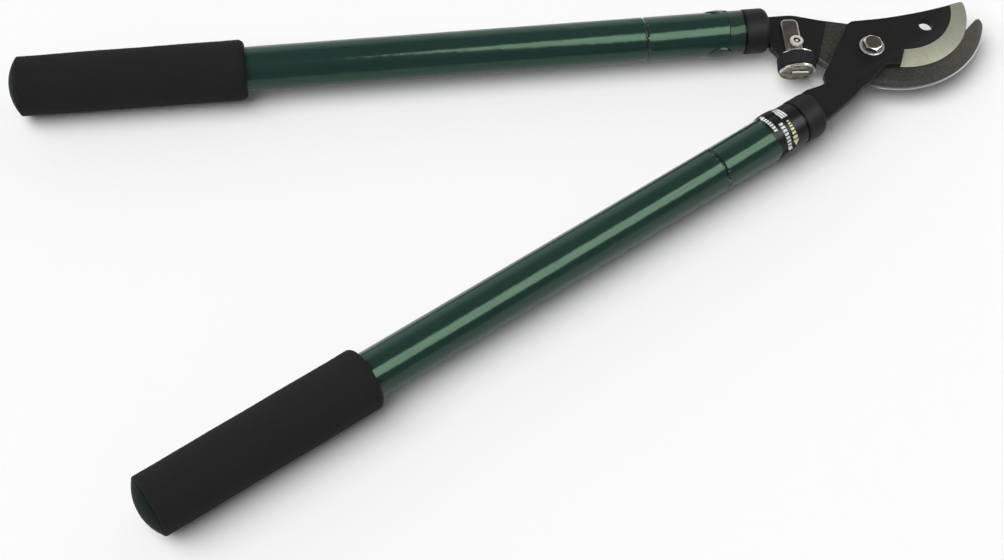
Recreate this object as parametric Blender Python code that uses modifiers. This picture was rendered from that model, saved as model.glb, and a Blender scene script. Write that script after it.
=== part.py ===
"""Telescopic lopper: two extending handles with twist locks, a hook and a cutting blade on one pivot bolt.

Metres, +Z up. The origin is the flat end of the pivot bolt, on the floor that the lopper lies on. +X runs
between the handles to the jaws. Both handle axes lie in one level plane, which also parts the two blades.
"""

import math
from collections import namedtuple

import bmesh
import bpy
from mathutils import Vector

# Fits and edges
FIT = 0.0003  # gap where one piece seats on or in another
EDGE_BREAK = 0.0003  # small chamfer on the edges of stamped plates
WELD = 0.00001  # points this close are one point
REACH = 0.004  # how far a cutter runs past what it cuts
TURN_STEPS = 32  # sides of the large turned pieces
SMALL_STEPS = 24  # sides of the small turned pieces
HIDDEN_STEPS = 16  # sides of the pieces inside the tubes
BEVEL_STEPS = 80  # sides of a full turn along the ground bevels

# How the handles lie at rest
HANDLE_ANGLE_DEG = 28.2  # between the two handle axes
UPPER_OFFSET = 0.0245  # pivot to the hook side's handle axis
LOWER_OFFSET = 0.0172  # pivot to the blade side's handle axis

# Outer tube of each handle, stations along its axis from the foot of the pivot, towards the head
TUBE_OD = 0.029
TUBE_WALL = 0.0012
TUBE_LENGTH = 0.4661
TUBE_HEAD_X = -0.0828
ROLL_X = -0.148  # groove rolled into the tube, which also stops the extension
ROLL_WIDTH = 0.0024
ROLL_DEPTH = 0.0007
SCORE_X = -0.0931  # fine ring scored near the tube's head end
SCORE_WIDTH = 0.0008
SCORE_DEPTH = 0.00025

# Inner tube, which the outer tube slides over
INNER_OD = 0.023
INNER_WALL = 0.0012
TRAVEL = 0.3
STOP_GAP = 0.001  # left between lock and rolled groove at full reach

# Guide bush in the outer tube's mouth, held by two snap lugs
BUSH_LENGTH = 0.040
FLANGE_THICKNESS = 0.0011
FLANGE_DIAMETER = 0.0284
LUG_X = -0.0985
LUG_DIAMETER = 0.017
LUG_RISE = 0.0011
UPPER_LUG_TURN_DEG = 25.0
LOWER_LUG_TURN_DEG = 25.3

# Head collar, moulded over the inner tube's end
COLLAR_OD = 0.0296
COLLAR_LENGTH = 0.0157
COLLAR_WALL = 0.0022  # its front wall
COLLAR_SHOULDER = 0.0042

# Tang of each blade, riveted into its inner tube
TANG_WIDTH = 0.017
TANG_END_X = -0.115
PIN_X = -0.0765
PIN_DIAMETER = 0.005

# Twist lock on the inner tube's grip end
PLUG_DEPTH = 0.020
PLUG_FLANGE = 0.002
SPINDLE_DIAMETER = 0.008
EXPANDER_LENGTH = 0.020
EXPANDER_WALL = 0.003  # its head-side wall
EXPANDER_LIP = 0.0016  # its wall at the grip end
EXPANDER_SLOT = 0.0015
CONE_LENGTH = 0.014
CONE_TAPER_DEG = 7.0
SPINDLE_TAIL = 0.005  # spindle past the cone

# Foam grip and end plug
GRIP_LENGTH = 0.1415
GRIP_FREE_OD = 0.0382
GRIP_HEAD_OD = 0.0392
GRIP_FREE_ROUND = 0.003
GRIP_HEAD_ROUND = 0.004
GRIP_OVERHANG = 0.0004  # foam past the tube's end
CAP_DIAMETER = 0.0295
CAP_RIM = 0.0015
CAP_DOME = 0.0058
CAP_SPIGOT = 0.015
CAP_WALL = 0.0015

# Blades, in their own frames: the pivot at the origin and x along the handle
HOOK_THICKNESS = 0.005
BLADE_THICKNESS = 0.0045
HOOK_SHOULDER_OUT = 0.0116  # outer edge of the hook's shoulder from the handle axis
HOOK_SHOULDER_IN = 0.0137
HOOK_BOSS_RADIUS = 0.0194
JAW_CENTRE = (0.033, 0.0305)  # the hook's inner edge
JAW_RADIUS = 0.0395
HOOK_CENTRE = (0.0195, 0.0373)  # the hook's outer edge
HOOK_RADIUS = 0.0676
HOOK_TIP_DEG = -18.2
HOOK_TIP_RADIUS = 0.0035
RELIEF_WIDTH = 0.004  # long slope ground along the hook's outer edge
RELIEF_DEPTH = 0.0038
BLADE_SHOULDER_OUT = 0.0110
BLADE_SHOULDER_IN = 0.0141
SPINE_HEEL = (0.0186, 0.0166)  # ends of the blade's hollow back
SPINE_TIP = (0.0690, -0.0021)
SPINE_RADIUS = 0.306
EDGE_CENTRE = (0.0375, 0.0176)  # the cutting edge and its ground bevel
EDGE_RADIUS = 0.0492
EDGE_LAND = 0.0003
BEVEL_RADIUS = 0.0375
HEEL_POINT = (0.0171, -0.0134)  # inner end of the bevel
HEEL_SLOPE_DEG = 38.0
BLADE_HOLE_X = 0.0434
BLADE_HOLE_Y = -0.0062
BLADE_HOLE_DIAMETER = 0.0097

# Pivot bolt, washers and nut
BOLT_DIAMETER = 0.008
BOLT_HEAD_FLATS = 0.0114
BOLT_HEAD_HEIGHT = 0.0031
BOLT_TURN_DEG = -8.0
WASHER_DIAMETER = 0.0164
WASHER_THICKNESS = 0.0012
LOCK_WASHER_DIAMETER = 0.014
LOCK_WASHER_THICKNESS = 0.0015
LOCK_WASHER_SPLIT = 0.0012
LOCK_WASHER_TURN_DEG = 200.0
NUT_FLATS = 0.013
NUT_HEIGHT = 0.008
NUT_COLLAR = 0.0022  # its round part, which grips the thread
NUT_COLLAR_DIAMETER = 0.0116

# Bumper on the hook's tang, out from the straight seat edge of the tang, its axis drooping
SEAT_X = -0.0504
SEAT_Y = 0.0030
SEAT_TILT_DEG = 3.75
SEAT_TO_JAW = 0.0114  # the seat edge on either side of its middle
SEAT_TO_GRIP = 0.0108
BUMPER_ACROSS = -0.0006  # its axis from the seat's middle, towards the jaws
BUMPER_RISE = 0.0027  # its axis above the plane of the handles, at the seat
BUMPER_DROOP_DEG = 15.0
STRIP_WIDTH = 0.0113
STRIP_ACROSS = -0.0001
STRIP_THICKNESS = 0.0012
STRIP_LENGTH = 0.0281
STRIP_END_ROUND = 0.0035
STRIP_BEND = 0.0010
FLANGE_RISE = 0.0065  # the strip's bent end above the bumper's axis
RIVET_OUT = -0.0088
RIVET_ACROSS = 0.0022
RIVET_DIAMETER = 0.0042
RIVET_HEAD_DIAMETER = 0.0088
RIVET_HEAD_HEIGHT = 0.0020
RIVET_EYE_DIAMETER = 0.0048
RIVET_EYE_DEPTH = 0.0012
CUP_DIAMETER = 0.0241
CUP_THICKNESS = 0.0010
RUBBER_DIAMETER = 0.0251
RUBBER_THICKNESS = 0.0088
RUBBER_ROUND = 0.0008
END_CAP_DIAMETER = 0.0236
END_CAP_THICKNESS = 0.0014
END_CAP_RIM = 0.0012
END_CAP_RECESS = 0.0004
STUD_DIAMETER = 0.004
KEY_ACROSS = 0.0015
KEY_LENGTH = 0.0114
KEY_WIDTH = 0.0052
KEY_HEIGHT = 0.0013

# Levels above the floor and above the plane of the handle axes
AXIS_Z = GRIP_HEAD_OD / 2
HOOK_TOP = -FIT / 2
HOOK_LOW = HOOK_TOP - HOOK_THICKNESS
BLADE_LOW = FIT / 2
BLADE_TOP = BLADE_LOW + BLADE_THICKNESS

# Stations and radii that follow from the sizes above
TUBE_RADIUS = TUBE_OD / 2
COLLAR_RADIUS = COLLAR_OD / 2
TUBE_BORE = TUBE_RADIUS - TUBE_WALL
TUBE_TAIL_X = TUBE_HEAD_X - TUBE_LENGTH
INNER_RADIUS = INNER_OD / 2
INNER_BORE = INNER_RADIUS - INNER_WALL
FLANGE_HEAD_X = TUBE_HEAD_X + FIT + FLANGE_THICKNESS
COLLAR_TAIL_X = FLANGE_HEAD_X + FIT
COLLAR_HEAD_X = COLLAR_TAIL_X + COLLAR_LENGTH
INNER_HEAD_X = COLLAR_HEAD_X - COLLAR_WALL - FIT
SHOULDER_X = COLLAR_HEAD_X + FIT
EXPANDER_HEAD_X = ROLL_X - ROLL_WIDTH / 2 - TRAVEL - STOP_GAP
INNER_TAIL_X = EXPANDER_HEAD_X + FIT + PLUG_FLANGE + FIT
EXPANDER_TAIL_X = EXPANDER_HEAD_X - EXPANDER_LENGTH
EXPANDER_RADIUS = TUBE_BORE - FIT
CONE_HEAD_X = EXPANDER_HEAD_X - EXPANDER_WALL - 0.003
CONE_TAIL_X = CONE_HEAD_X - CONE_LENGTH
SPINDLE_RADIUS = SPINDLE_DIAMETER / 2
GRIP_FREE_X = TUBE_TAIL_X - GRIP_OVERHANG
GRIP_HEAD_X = GRIP_FREE_X + GRIP_LENGTH
CAP_SEAT_X = GRIP_FREE_X - FIT
LUG_RADIUS = LUG_DIAMETER / 2
BOLT_RADIUS = BOLT_DIAMETER / 2
STUD_RADIUS = STUD_DIAMETER / 2
CUP_OUT = FIT + STRIP_THICKNESS + FIT
RUBBER_OUT = CUP_OUT + CUP_THICKNESS + FIT
END_CAP_OUT = RUBBER_OUT + RUBBER_THICKNESS + FIT
KEY_OUT = END_CAP_OUT + END_CAP_THICKNESS + FIT
DROOP = math.radians(BUMPER_DROOP_DEG)
BUMPER_STAND = (BUMPER_RISE - HOOK_LOW) * math.tan(DROOP)

# Colour, roughness and metallic value of each finish
FINISHES = {
    "green_paint": ((0.014, 0.070, 0.046), 0.28, 0.0),
    "green_plastic": ((0.010, 0.040, 0.028), 0.40, 0.0),
    "black_plastic": ((0.012, 0.013, 0.014), 0.42, 0.0),
    "black_foam": ((0.006, 0.006, 0.006), 0.90, 0.0),
    "black_coating": ((0.013, 0.013, 0.013), 0.45, 0.2),
    "black_rubber": ((0.010, 0.010, 0.011), 0.60, 0.0),
    "ground_steel": ((0.36, 0.34, 0.31), 0.38, 1.0),
    "zinc_plate": ((0.62, 0.62, 0.60), 0.30, 1.0),
    "bright_plate": ((0.70, 0.68, 0.62), 0.20, 1.0),
    "white_acetal": ((0.72, 0.72, 0.68), 0.45, 0.0),
}

Side = namedtuple("Side", "name frame axis offset tang_low tang_thickness lug_turn")


def clear_scene():
    """Empty the scene, so that the model starts from nothing."""
    for obj in list(bpy.data.objects):
        bpy.data.objects.remove(obj, do_unlink=True)


def new_collection(name):
    group = bpy.data.collections.new(name)
    bpy.context.scene.collection.children.link(group)
    return group


clear_scene()
PARTS = new_collection("telescopic_lopper")
CUTTERS = new_collection("cutters")


def finish(name):
    """The finish's material, made once."""
    material = bpy.data.materials.get(name)
    if material:
        return material
    colour, roughness, metallic = FINISHES[name]
    material = bpy.data.materials.new(name)
    material.use_nodes = True
    shader = material.node_tree.nodes["Principled BSDF"]
    shader.inputs["Base Color"].default_value = (*colour, 1.0)
    shader.inputs["Roughness"].default_value = roughness
    shader.inputs["Metallic"].default_value = metallic
    material.diffuse_color = (*colour, 1.0)
    return material


def frame_empty(name, parent=None, location=(0, 0, 0), rotation_deg=(0, 0, 0)):
    """An empty that carries pieces, with its rotation in degrees."""
    empty = bpy.data.objects.new(name, None)
    empty.empty_display_size = 0.01
    empty.parent = parent
    empty.location = location
    empty.rotation_euler = [math.radians(angle) for angle in rotation_deg]
    PARTS.objects.link(empty)
    return empty


def add_piece(name, mesh, parent, material):
    """A sub-part of the lopper, under the empty that carries it."""
    piece = bpy.data.objects.new(name, mesh)
    piece.parent = parent
    mesh.materials.append(finish(material))
    PARTS.objects.link(piece)
    return piece


def add_cutter(name, mesh, parent):
    """A shape that cuts or joins others, and isn't part of the lopper."""
    cutter = bpy.data.objects.new(name, mesh)
    cutter.parent = parent
    cutter.hide_render = True
    cutter.display_type = "WIRE"
    CUTTERS.objects.link(cutter)
    return cutter


def turn(piece, profile, steps=TURN_STEPS, ring=False):
    """Turn a profile of (radius, station) points, which runs down its outer side, about the local Z axis."""
    points = [(radius, 0.0, station) for radius, station in profile]
    edges = [(i, i + 1) for i in range(len(points) - 1)]
    if ring:
        edges.append((len(points) - 1, 0))
    piece.data.from_pydata(points, edges, [])
    screw = piece.modifiers.new("turn", "SCREW")
    screw.steps = steps
    screw.render_steps = steps
    screw.use_merge_vertices = True
    screw.merge_threshold = WELD
    return piece


def turned(name, profile, parent, material, steps=TURN_STEPS, ring=False):
    piece = add_piece(name, bpy.data.meshes.new(name), parent, material)
    return turn(piece, profile, steps, ring)


def turned_cutter(name, profile, parent, steps=TURN_STEPS, ring=False):
    cutter = add_cutter(name, bpy.data.meshes.new(name), parent)
    return turn(cutter, profile, steps, ring)


def bar(radius, top, bottom):
    """Profile of a plain round bar."""
    return [(0.0, top), (radius, top), (radius, bottom), (0.0, bottom)]


def box_mesh(name, low, high):
    """A box between two corners."""
    mesh = bpy.data.meshes.new(name)
    shape = bmesh.new()
    bmesh.ops.create_cube(shape, size=1.0)
    size = Vector(high) - Vector(low)
    middle = (Vector(high) + Vector(low)) / 2
    bmesh.ops.scale(shape, vec=size, verts=shape.verts)
    bmesh.ops.translate(shape, vec=middle, verts=shape.verts)
    shape.to_mesh(mesh)
    shape.free()
    return mesh


def hex_mesh(name, flats, low, high):
    """A hexagon bar, flats apart across its sides."""
    mesh = bpy.data.meshes.new(name)
    shape = bmesh.new()
    corner = flats / math.sqrt(3)
    bmesh.ops.create_cone(
        shape, cap_ends=True, segments=6, radius1=corner, radius2=corner, depth=high - low
    )
    bmesh.ops.translate(shape, vec=(0, 0, (high + low) / 2), verts=shape.verts)
    shape.to_mesh(mesh)
    shape.free()
    return mesh


def combine(piece, tool, operation):
    """Cut, join or limit a piece with another shape."""
    change = piece.modifiers.new(tool.name, "BOOLEAN")
    change.operation = operation
    change.solver = "EXACT"
    change.object = tool


def cut(piece, tool):
    combine(piece, tool, "DIFFERENCE")


def join(piece, tool):
    combine(piece, tool, "UNION")


def limit(piece, tool):
    combine(piece, tool, "INTERSECT")


def arc(centre, radius, start_deg, end_deg, steps):
    """Points along an arc, both ends included."""
    turns = [start_deg + (end_deg - start_deg) * i / steps for i in range(steps + 1)]
    return [
        (
            centre[0] + radius * math.cos(math.radians(angle)),
            centre[1] + radius * math.sin(math.radians(angle)),
        )
        for angle in turns
    ]


def hollow(start, end, radius, steps):
    """Points along an arc between two points, bowed to the right of the way from one to the other."""
    chord = Vector(end) - Vector(start)
    middle = Vector(start) + chord / 2
    rise = math.sqrt(radius**2 - chord.length_squared / 4)
    centre = middle + Vector((-chord.y, chord.x)).normalized() * rise
    first = Vector(start) - centre
    start_deg = math.degrees(math.atan2(first.y, first.x))
    sweep_deg = math.degrees(2 * math.asin(chord.length / 2 / radius))
    return arc(centre, radius, start_deg, start_deg + sweep_deg, steps)


def fillet(before, corner, after, radius):
    """Points that round one corner, with the radius limited by the shorter of its two sides."""
    corner = Vector(corner)
    back = Vector(before) - corner
    ahead = Vector(after) - corner
    half = back.angle(ahead) / 2
    run = min(radius / math.tan(half), 0.45 * back.length, 0.45 * ahead.length)
    radius = run * math.tan(half)
    start = corner + back.normalized() * run
    end = corner + ahead.normalized() * run
    centre = corner + (back.normalized() + ahead.normalized()).normalized() * radius / math.sin(half)
    steps = max(2, round(math.degrees(math.pi - 2 * half) / 18))
    first = start - centre
    sweep = first.angle_signed(end - centre)
    points = []
    for i in range(steps + 1):
        angle = -sweep * i / steps
        turned_arm = Vector(
            (
                first.x * math.cos(angle) - first.y * math.sin(angle),
                first.x * math.sin(angle) + first.y * math.cos(angle),
            )
        )
        points.append(tuple(centre + turned_arm))
    return points


def rounded(corners):
    """An outline from (x, y) points and (x, y, radius) corners."""
    outline = []
    for i, corner in enumerate(corners):
        if len(corner) == 2:
            outline.append(corner)
            continue
        before = corners[i - 1][:2]
        after = corners[(i + 1) % len(corners)][:2]
        outline.extend(fillet(before, corner[:2], after, corner[2]))
    return outline


def plate_mesh(name, outline, low, thickness, edge_break=0.0):
    """A flat plate from its outline, with its underside at low and its edges broken."""
    curve = bpy.data.curves.new(name + "_outline", "CURVE")
    curve.dimensions = "2D"
    curve.fill_mode = "BOTH"
    curve.extrude = thickness / 2 - edge_break
    curve.bevel_depth = edge_break
    curve.bevel_resolution = 0
    curve.offset = -edge_break
    spline = curve.splines.new("POLY")
    spline.points.add(len(outline) - 1)
    for point, (x, y) in zip(spline.points, outline):
        point.co = (x, y, 0.0, 1.0)
    spline.use_cyclic_u = True
    flat = bpy.data.objects.new(name + "_outline", curve)
    CUTTERS.objects.link(flat)
    graph = bpy.context.evaluated_depsgraph_get()
    mesh = bpy.data.meshes.new_from_object(flat.evaluated_get(graph))
    bpy.data.objects.remove(flat)
    bpy.data.curves.remove(curve)
    mesh.name = name
    shape = bmesh.new()
    shape.from_mesh(mesh)
    bmesh.ops.remove_doubles(shape, verts=shape.verts, dist=WELD)
    bmesh.ops.translate(shape, vec=(0, 0, low + thickness / 2), verts=shape.verts)
    bmesh.ops.recalc_face_normals(shape, faces=shape.faces)
    shape.to_mesh(mesh)
    shape.free()
    return mesh


def plate(name, outline, low, thickness, parent, material, edge_break=0.0):
    mesh = plate_mesh(name, outline, low, thickness, edge_break)
    mesh.materials.clear()
    return add_piece(name, mesh, parent, material)


def ring_groove(radius, station, width, depth, steps):
    """Profile points of a groove in a turned surface, towards smaller stations."""
    points = []
    for i in range(steps + 1):
        share = i / steps
        points.append((radius - depth * math.sin(math.pi * share), station + width * (0.5 - share)))
    return points


def outer_tube(side):
    """Painted tube with its rolled groove, its scored ring and the holes of the bush's lugs."""
    outside = [(TUBE_RADIUS, TUBE_HEAD_X)]
    outside += ring_groove(TUBE_RADIUS, SCORE_X, SCORE_WIDTH, SCORE_DEPTH, 2)
    outside += ring_groove(TUBE_RADIUS, ROLL_X, ROLL_WIDTH, ROLL_DEPTH, 4)
    outside.append((TUBE_RADIUS, TUBE_TAIL_X))
    inside = [(TUBE_BORE, TUBE_HEAD_X)]
    inside += ring_groove(TUBE_BORE, ROLL_X, ROLL_WIDTH, ROLL_DEPTH, 2)
    inside.append((TUBE_BORE, TUBE_TAIL_X))
    tube = turned(side.name + "_outer_tube", outside + inside[::-1], side.axis, "green_paint", ring=True)
    lug_axis = frame_empty(
        side.name + "_lug_hole_axis", side.axis, (0, 0, LUG_X), (-90, 0, side.lug_turn)
    )
    reach = TUBE_RADIUS + REACH
    hole = bar(LUG_RADIUS + FIT, reach, -reach)
    cut(tube, turned_cutter(side.name + "_lug_hole", hole, lug_axis, SMALL_STEPS))


def guide_bush(side):
    """Moulded bush in the tube's mouth, which the inner tube slides through, with two domed snap lugs."""
    radius = TUBE_BORE - FIT
    tail = TUBE_HEAD_X - BUSH_LENGTH
    flange = FLANGE_DIAMETER / 2
    flange_tail = FLANGE_HEAD_X - FLANGE_THICKNESS
    profile = [
        (0.0, FLANGE_HEAD_X),
        (flange, FLANGE_HEAD_X),
        (flange, flange_tail),
        (radius, flange_tail),
        (radius, tail),
        (0.0, tail),
    ]
    bush = turned(side.name + "_guide_bush", profile, side.axis, "black_plastic", SMALL_STEPS)
    crown = (LUG_RADIUS**2 + LUG_RISE**2) / (2 * LUG_RISE)
    swing = math.degrees(math.asin((LUG_RADIUS + REACH / 4) / crown))
    crown_centre = (TUBE_RADIUS + LUG_RISE - crown, LUG_X)
    barrel_side = arc(crown_centre, crown, swing, -swing, 4)
    barrel_profile = [(0.0, barrel_side[0][1]), *barrel_side, (0.0, barrel_side[-1][1])]
    barrel = turned_cutter(side.name + "_lug_barrel", barrel_profile, side.axis)
    lug_axis = frame_empty(side.name + "_lug_axis", side.axis, (0, 0, LUG_X), (-90, 0, side.lug_turn))
    reach = TUBE_RADIUS + REACH
    lug = turned_cutter(side.name + "_lug", bar(LUG_RADIUS, reach, -reach), lug_axis, SMALL_STEPS)
    limit(lug, barrel)
    join(bush, lug)
    bore = bar(INNER_RADIUS + FIT, FLANGE_HEAD_X + REACH, tail - REACH)
    cut(bush, turned_cutter(side.name + "_bush_bore", bore, side.axis, SMALL_STEPS))


def inner_tube(side):
    """Plated tube, pinned to the tang at its head end."""
    profile = [
        (INNER_RADIUS, INNER_HEAD_X),
        (INNER_RADIUS, INNER_TAIL_X),
        (INNER_BORE, INNER_TAIL_X),
        (INNER_BORE, INNER_HEAD_X),
    ]
    tube = turned(side.name + "_inner_tube", profile, side.axis, "zinc_plate", SMALL_STEPS, ring=True)
    cut(tube, pin_hole(side, "_inner_tube"))


def pin_hole(side, suffix):
    """Cutter for the hole of the tang's pin, square to the plates."""
    place = frame_empty(side.name + suffix + "_pin_axis", side.frame, (PIN_X, side.offset, 0))
    reach = INNER_RADIUS + REACH
    profile = bar(PIN_DIAMETER / 2 + FIT, reach, -reach)
    return turned_cutter(side.name + suffix + "_pin_hole", profile, place, HIDDEN_STEPS)


def tang_pin(side):
    """Rivet pin through inner tube and tang, flush under the collar."""
    place = frame_empty(side.name + "_pin_axis", side.frame, (PIN_X, side.offset, 0))
    profile = bar(PIN_DIAMETER / 2, INNER_RADIUS - FIT, -INNER_RADIUS + FIT)
    turned(side.name + "_tang_pin", profile, place, "zinc_plate", HIDDEN_STEPS)


def head_collar(side):
    """Moulded collar over the inner tube's end, slotted in front for the tang."""
    bore = INNER_RADIUS + FIT
    shoulder = (COLLAR_RADIUS - COLLAR_SHOULDER, COLLAR_HEAD_X - COLLAR_SHOULDER)
    ceiling = COLLAR_HEAD_X - COLLAR_WALL
    profile = [(0.0, COLLAR_HEAD_X)]
    profile += arc(shoulder, COLLAR_SHOULDER, 90, 0, 4)
    profile += [(COLLAR_RADIUS, COLLAR_TAIL_X), (bore, COLLAR_TAIL_X), (bore, ceiling), (0.0, ceiling)]
    collar = turned(side.name + "_head_collar", profile, side.axis, "black_plastic")
    half = TANG_WIDTH / 2 + FIT
    low = (ceiling - REACH, side.offset - half, side.tang_low - FIT)
    high = (COLLAR_HEAD_X + REACH, side.offset + half, side.tang_low + side.tang_thickness + FIT)
    name = side.name + "_tang_slot"
    cut(collar, add_cutter(name, box_mesh(name, low, high), side.frame))


def lock_plug(side):
    """Plug pressed into the inner tube's end, with the spindle of the twist lock."""
    flange_head = INNER_TAIL_X - FIT
    flange_tail = flange_head - PLUG_FLANGE
    spindle_tail = CONE_TAIL_X - SPINDLE_TAIL
    profile = [
        (0.0, INNER_TAIL_X + PLUG_DEPTH),
        (INNER_BORE - FIT, INNER_TAIL_X + PLUG_DEPTH),
        (INNER_BORE - FIT, flange_head),
        (INNER_RADIUS, flange_head),
        (INNER_RADIUS, flange_tail),
        (SPINDLE_RADIUS, flange_tail),
        (SPINDLE_RADIUS, spindle_tail),
        (0.0, spindle_tail),
    ]
    turned(side.name + "_lock_plug", profile, side.axis, "white_acetal", HIDDEN_STEPS)


def cone_radius(station):
    """Outer radius of the cone, which widens towards the grip."""
    tail_radius = EXPANDER_RADIUS - EXPANDER_LIP - FIT
    return tail_radius - (station - CONE_TAIL_X) * math.tan(math.radians(CONE_TAPER_DEG))


def lock_expander(side):
    """Split collet, which the cone spreads against the outer tube."""
    wall_tail = EXPANDER_HEAD_X - EXPANDER_WALL
    profile = [
        (SPINDLE_RADIUS + FIT, EXPANDER_HEAD_X),
        (EXPANDER_RADIUS, EXPANDER_HEAD_X),
        (EXPANDER_RADIUS, EXPANDER_TAIL_X),
        (cone_radius(EXPANDER_TAIL_X) + FIT, EXPANDER_TAIL_X),
        (cone_radius(wall_tail) + FIT, wall_tail),
        (SPINDLE_RADIUS + FIT, wall_tail),
    ]
    name = side.name + "_lock_expander"
    expander = turned(name, profile, side.axis, "white_acetal", HIDDEN_STEPS, ring=True)
    reach = EXPANDER_RADIUS + REACH
    for number, turn_deg in enumerate((0, 90)):
        name = f"{side.name}_expander_slot_{number}"
        low = (-reach, -EXPANDER_SLOT / 2, EXPANDER_TAIL_X - REACH)
        high = (reach, EXPANDER_SLOT / 2, wall_tail - EXPANDER_WALL)
        slot = add_cutter(name, box_mesh(name, low, high), side.axis)
        slot.rotation_euler.z = math.radians(turn_deg)
        cut(expander, slot)


def lock_cone(side):
    """Cone nut on the spindle, drawn into the collet as the handle is twisted tight."""
    profile = [
        (SPINDLE_RADIUS + FIT, CONE_HEAD_X),
        (cone_radius(CONE_HEAD_X), CONE_HEAD_X),
        (cone_radius(CONE_TAIL_X), CONE_TAIL_X),
        (SPINDLE_RADIUS + FIT, CONE_TAIL_X),
    ]
    turned(side.name + "_lock_cone", profile, side.axis, "black_plastic", HIDDEN_STEPS, ring=True)


def foam_grip(side):
    """Foam sleeve on the outer tube, a little fatter towards the head, with rounded ends."""
    head = GRIP_HEAD_OD / 2
    free = GRIP_FREE_OD / 2
    bore = TUBE_RADIUS + FIT
    profile = arc((head - GRIP_HEAD_ROUND, GRIP_HEAD_X - GRIP_HEAD_ROUND), GRIP_HEAD_ROUND, 90, 0, 3)
    profile += arc((free - GRIP_FREE_ROUND, GRIP_FREE_X + GRIP_FREE_ROUND), GRIP_FREE_ROUND, 0, -90, 2)
    profile += [(bore, GRIP_FREE_X), (bore, GRIP_HEAD_X)]
    turned(side.name + "_foam_grip", profile, side.axis, "black_foam", ring=True)


def end_plug(side):
    """Domed plug in the tube's free end, with a hollow spigot."""
    spigot = TUBE_BORE - FIT
    spigot_head = CAP_SEAT_X + CAP_SPIGOT
    cap = CAP_DIAMETER / 2
    dome = (cap**2 + CAP_DOME**2) / (2 * CAP_DOME)
    dome_centre = (0.0, CAP_SEAT_X - CAP_RIM - CAP_DOME + dome)
    rim_angle = math.degrees(math.acos(cap / dome))
    profile = [
        (0.0, CAP_SEAT_X + CAP_WALL),
        (spigot - CAP_WALL, CAP_SEAT_X + CAP_WALL),
        (spigot - CAP_WALL, spigot_head),
        (spigot, spigot_head),
        (spigot, CAP_SEAT_X),
        (cap, CAP_SEAT_X),
    ]
    profile += arc(dome_centre, dome, -rim_angle, -90, 4)
    profile[-1] = (0.0, CAP_SEAT_X - CAP_RIM - CAP_DOME)
    turned(side.name + "_end_plug", profile, side.axis, "green_plastic")


def make_handle(side):
    """Every piece of one handle."""
    outer_tube(side)
    guide_bush(side)
    inner_tube(side)
    tang_pin(side)
    head_collar(side)
    lock_plug(side)
    lock_expander(side)
    lock_cone(side)
    foam_grip(side)
    end_plug(side)


def along(start, angle_deg, distance):
    """The point at a distance from another, in a direction."""
    angle = math.radians(angle_deg)
    return (start[0] + distance * math.cos(angle), start[1] + distance * math.sin(angle))


def pivot_hole(name, parent):
    reach = HOOK_THICKNESS + BLADE_THICKNESS
    return turned_cutter(name, bar(BOLT_RADIUS + FIT, reach, -reach), parent, SMALL_STEPS)


def hook_outline(side):
    """Outline of tang and hook, from the tang's end along the outer side, round the tip and back."""
    root_out = side.offset + TANG_WIDTH / 2
    root_in = side.offset - TANG_WIDTH / 2
    shoulder_out = side.offset + HOOK_SHOULDER_OUT
    shoulder_in = side.offset - HOOK_SHOULDER_IN
    tip_centre = along(HOOK_CENTRE, HOOK_TIP_DEG, HOOK_RADIUS - HOOK_TIP_RADIUS)
    seat = (SEAT_X, SEAT_Y)
    seat_jaw = along(seat, -SEAT_TILT_DEG, SEAT_TO_JAW)
    seat_grip = along(seat, -SEAT_TILT_DEG, -SEAT_TO_GRIP)
    return rounded(
        [
            (TANG_END_X, root_in, 0.002),
            (TANG_END_X, root_out, 0.002),
            (SHOULDER_X, root_out),
            (SHOULDER_X, shoulder_out, 0.001),
            (-0.0455, shoulder_out, 0.022),
            (-0.0265, 0.0297, 0.030),
            (-0.0094, 0.0252, 0.030),
            *arc((0, 0), HOOK_BOSS_RADIUS, 70, -3, 6),
            *arc(JAW_CENTRE, JAW_RADIUS, -106, -32, 10),
            *arc(tip_centre, HOOK_TIP_RADIUS, 135, HOOK_TIP_DEG, 6),
            *arc(HOOK_CENTRE, HOOK_RADIUS, HOOK_TIP_DEG - 4, -119.4, 18),
            (-0.0301, -0.0096, 0.008),
            (seat_jaw[0] + 0.0015, seat_jaw[1] - 0.0041, 0.001),
            (*seat_jaw, 0.001),
            (*seat_grip, 0.001),
            (SHOULDER_X, shoulder_in, 0.001),
            (SHOULDER_X, root_in),
        ]
    )


def hook_blade(side):
    """Tang and hook in one plate, its outer edge relieved by a long ground slope."""
    hook = plate(
        "hook_blade",
        hook_outline(side),
        HOOK_LOW,
        HOOK_THICKNESS,
        side.frame,
        "ground_steel",
        EDGE_BREAK,
    )
    centre = frame_empty("hook_edge_centre", side.frame, (*HOOK_CENTRE, 0))
    over = 0.3
    slope = [
        (HOOK_RADIUS + over * RELIEF_WIDTH, HOOK_TOP + over * RELIEF_DEPTH),
        (HOOK_RADIUS + over * RELIEF_WIDTH, HOOK_TOP - (1 + over) * RELIEF_DEPTH),
        (HOOK_RADIUS - (1 + over) * RELIEF_WIDTH, HOOK_TOP + over * RELIEF_DEPTH),
    ]
    relief = turned_cutter("hook_relief", slope, centre, BEVEL_STEPS, ring=True)
    jaw_side = box_mesh("hook_relief_limit", (-0.020, -0.12, -0.02), (0.12, 0.12, 0.02))
    limit(relief, add_cutter("hook_relief_limit", jaw_side, side.frame))
    cut(hook, relief)
    cut(hook, pivot_hole("hook_pivot_hole", side.frame))
    cut(hook, pin_hole(side, "_tang"))
    cut(hook, rivet_hole("hook_rivet_hole"))


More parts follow.
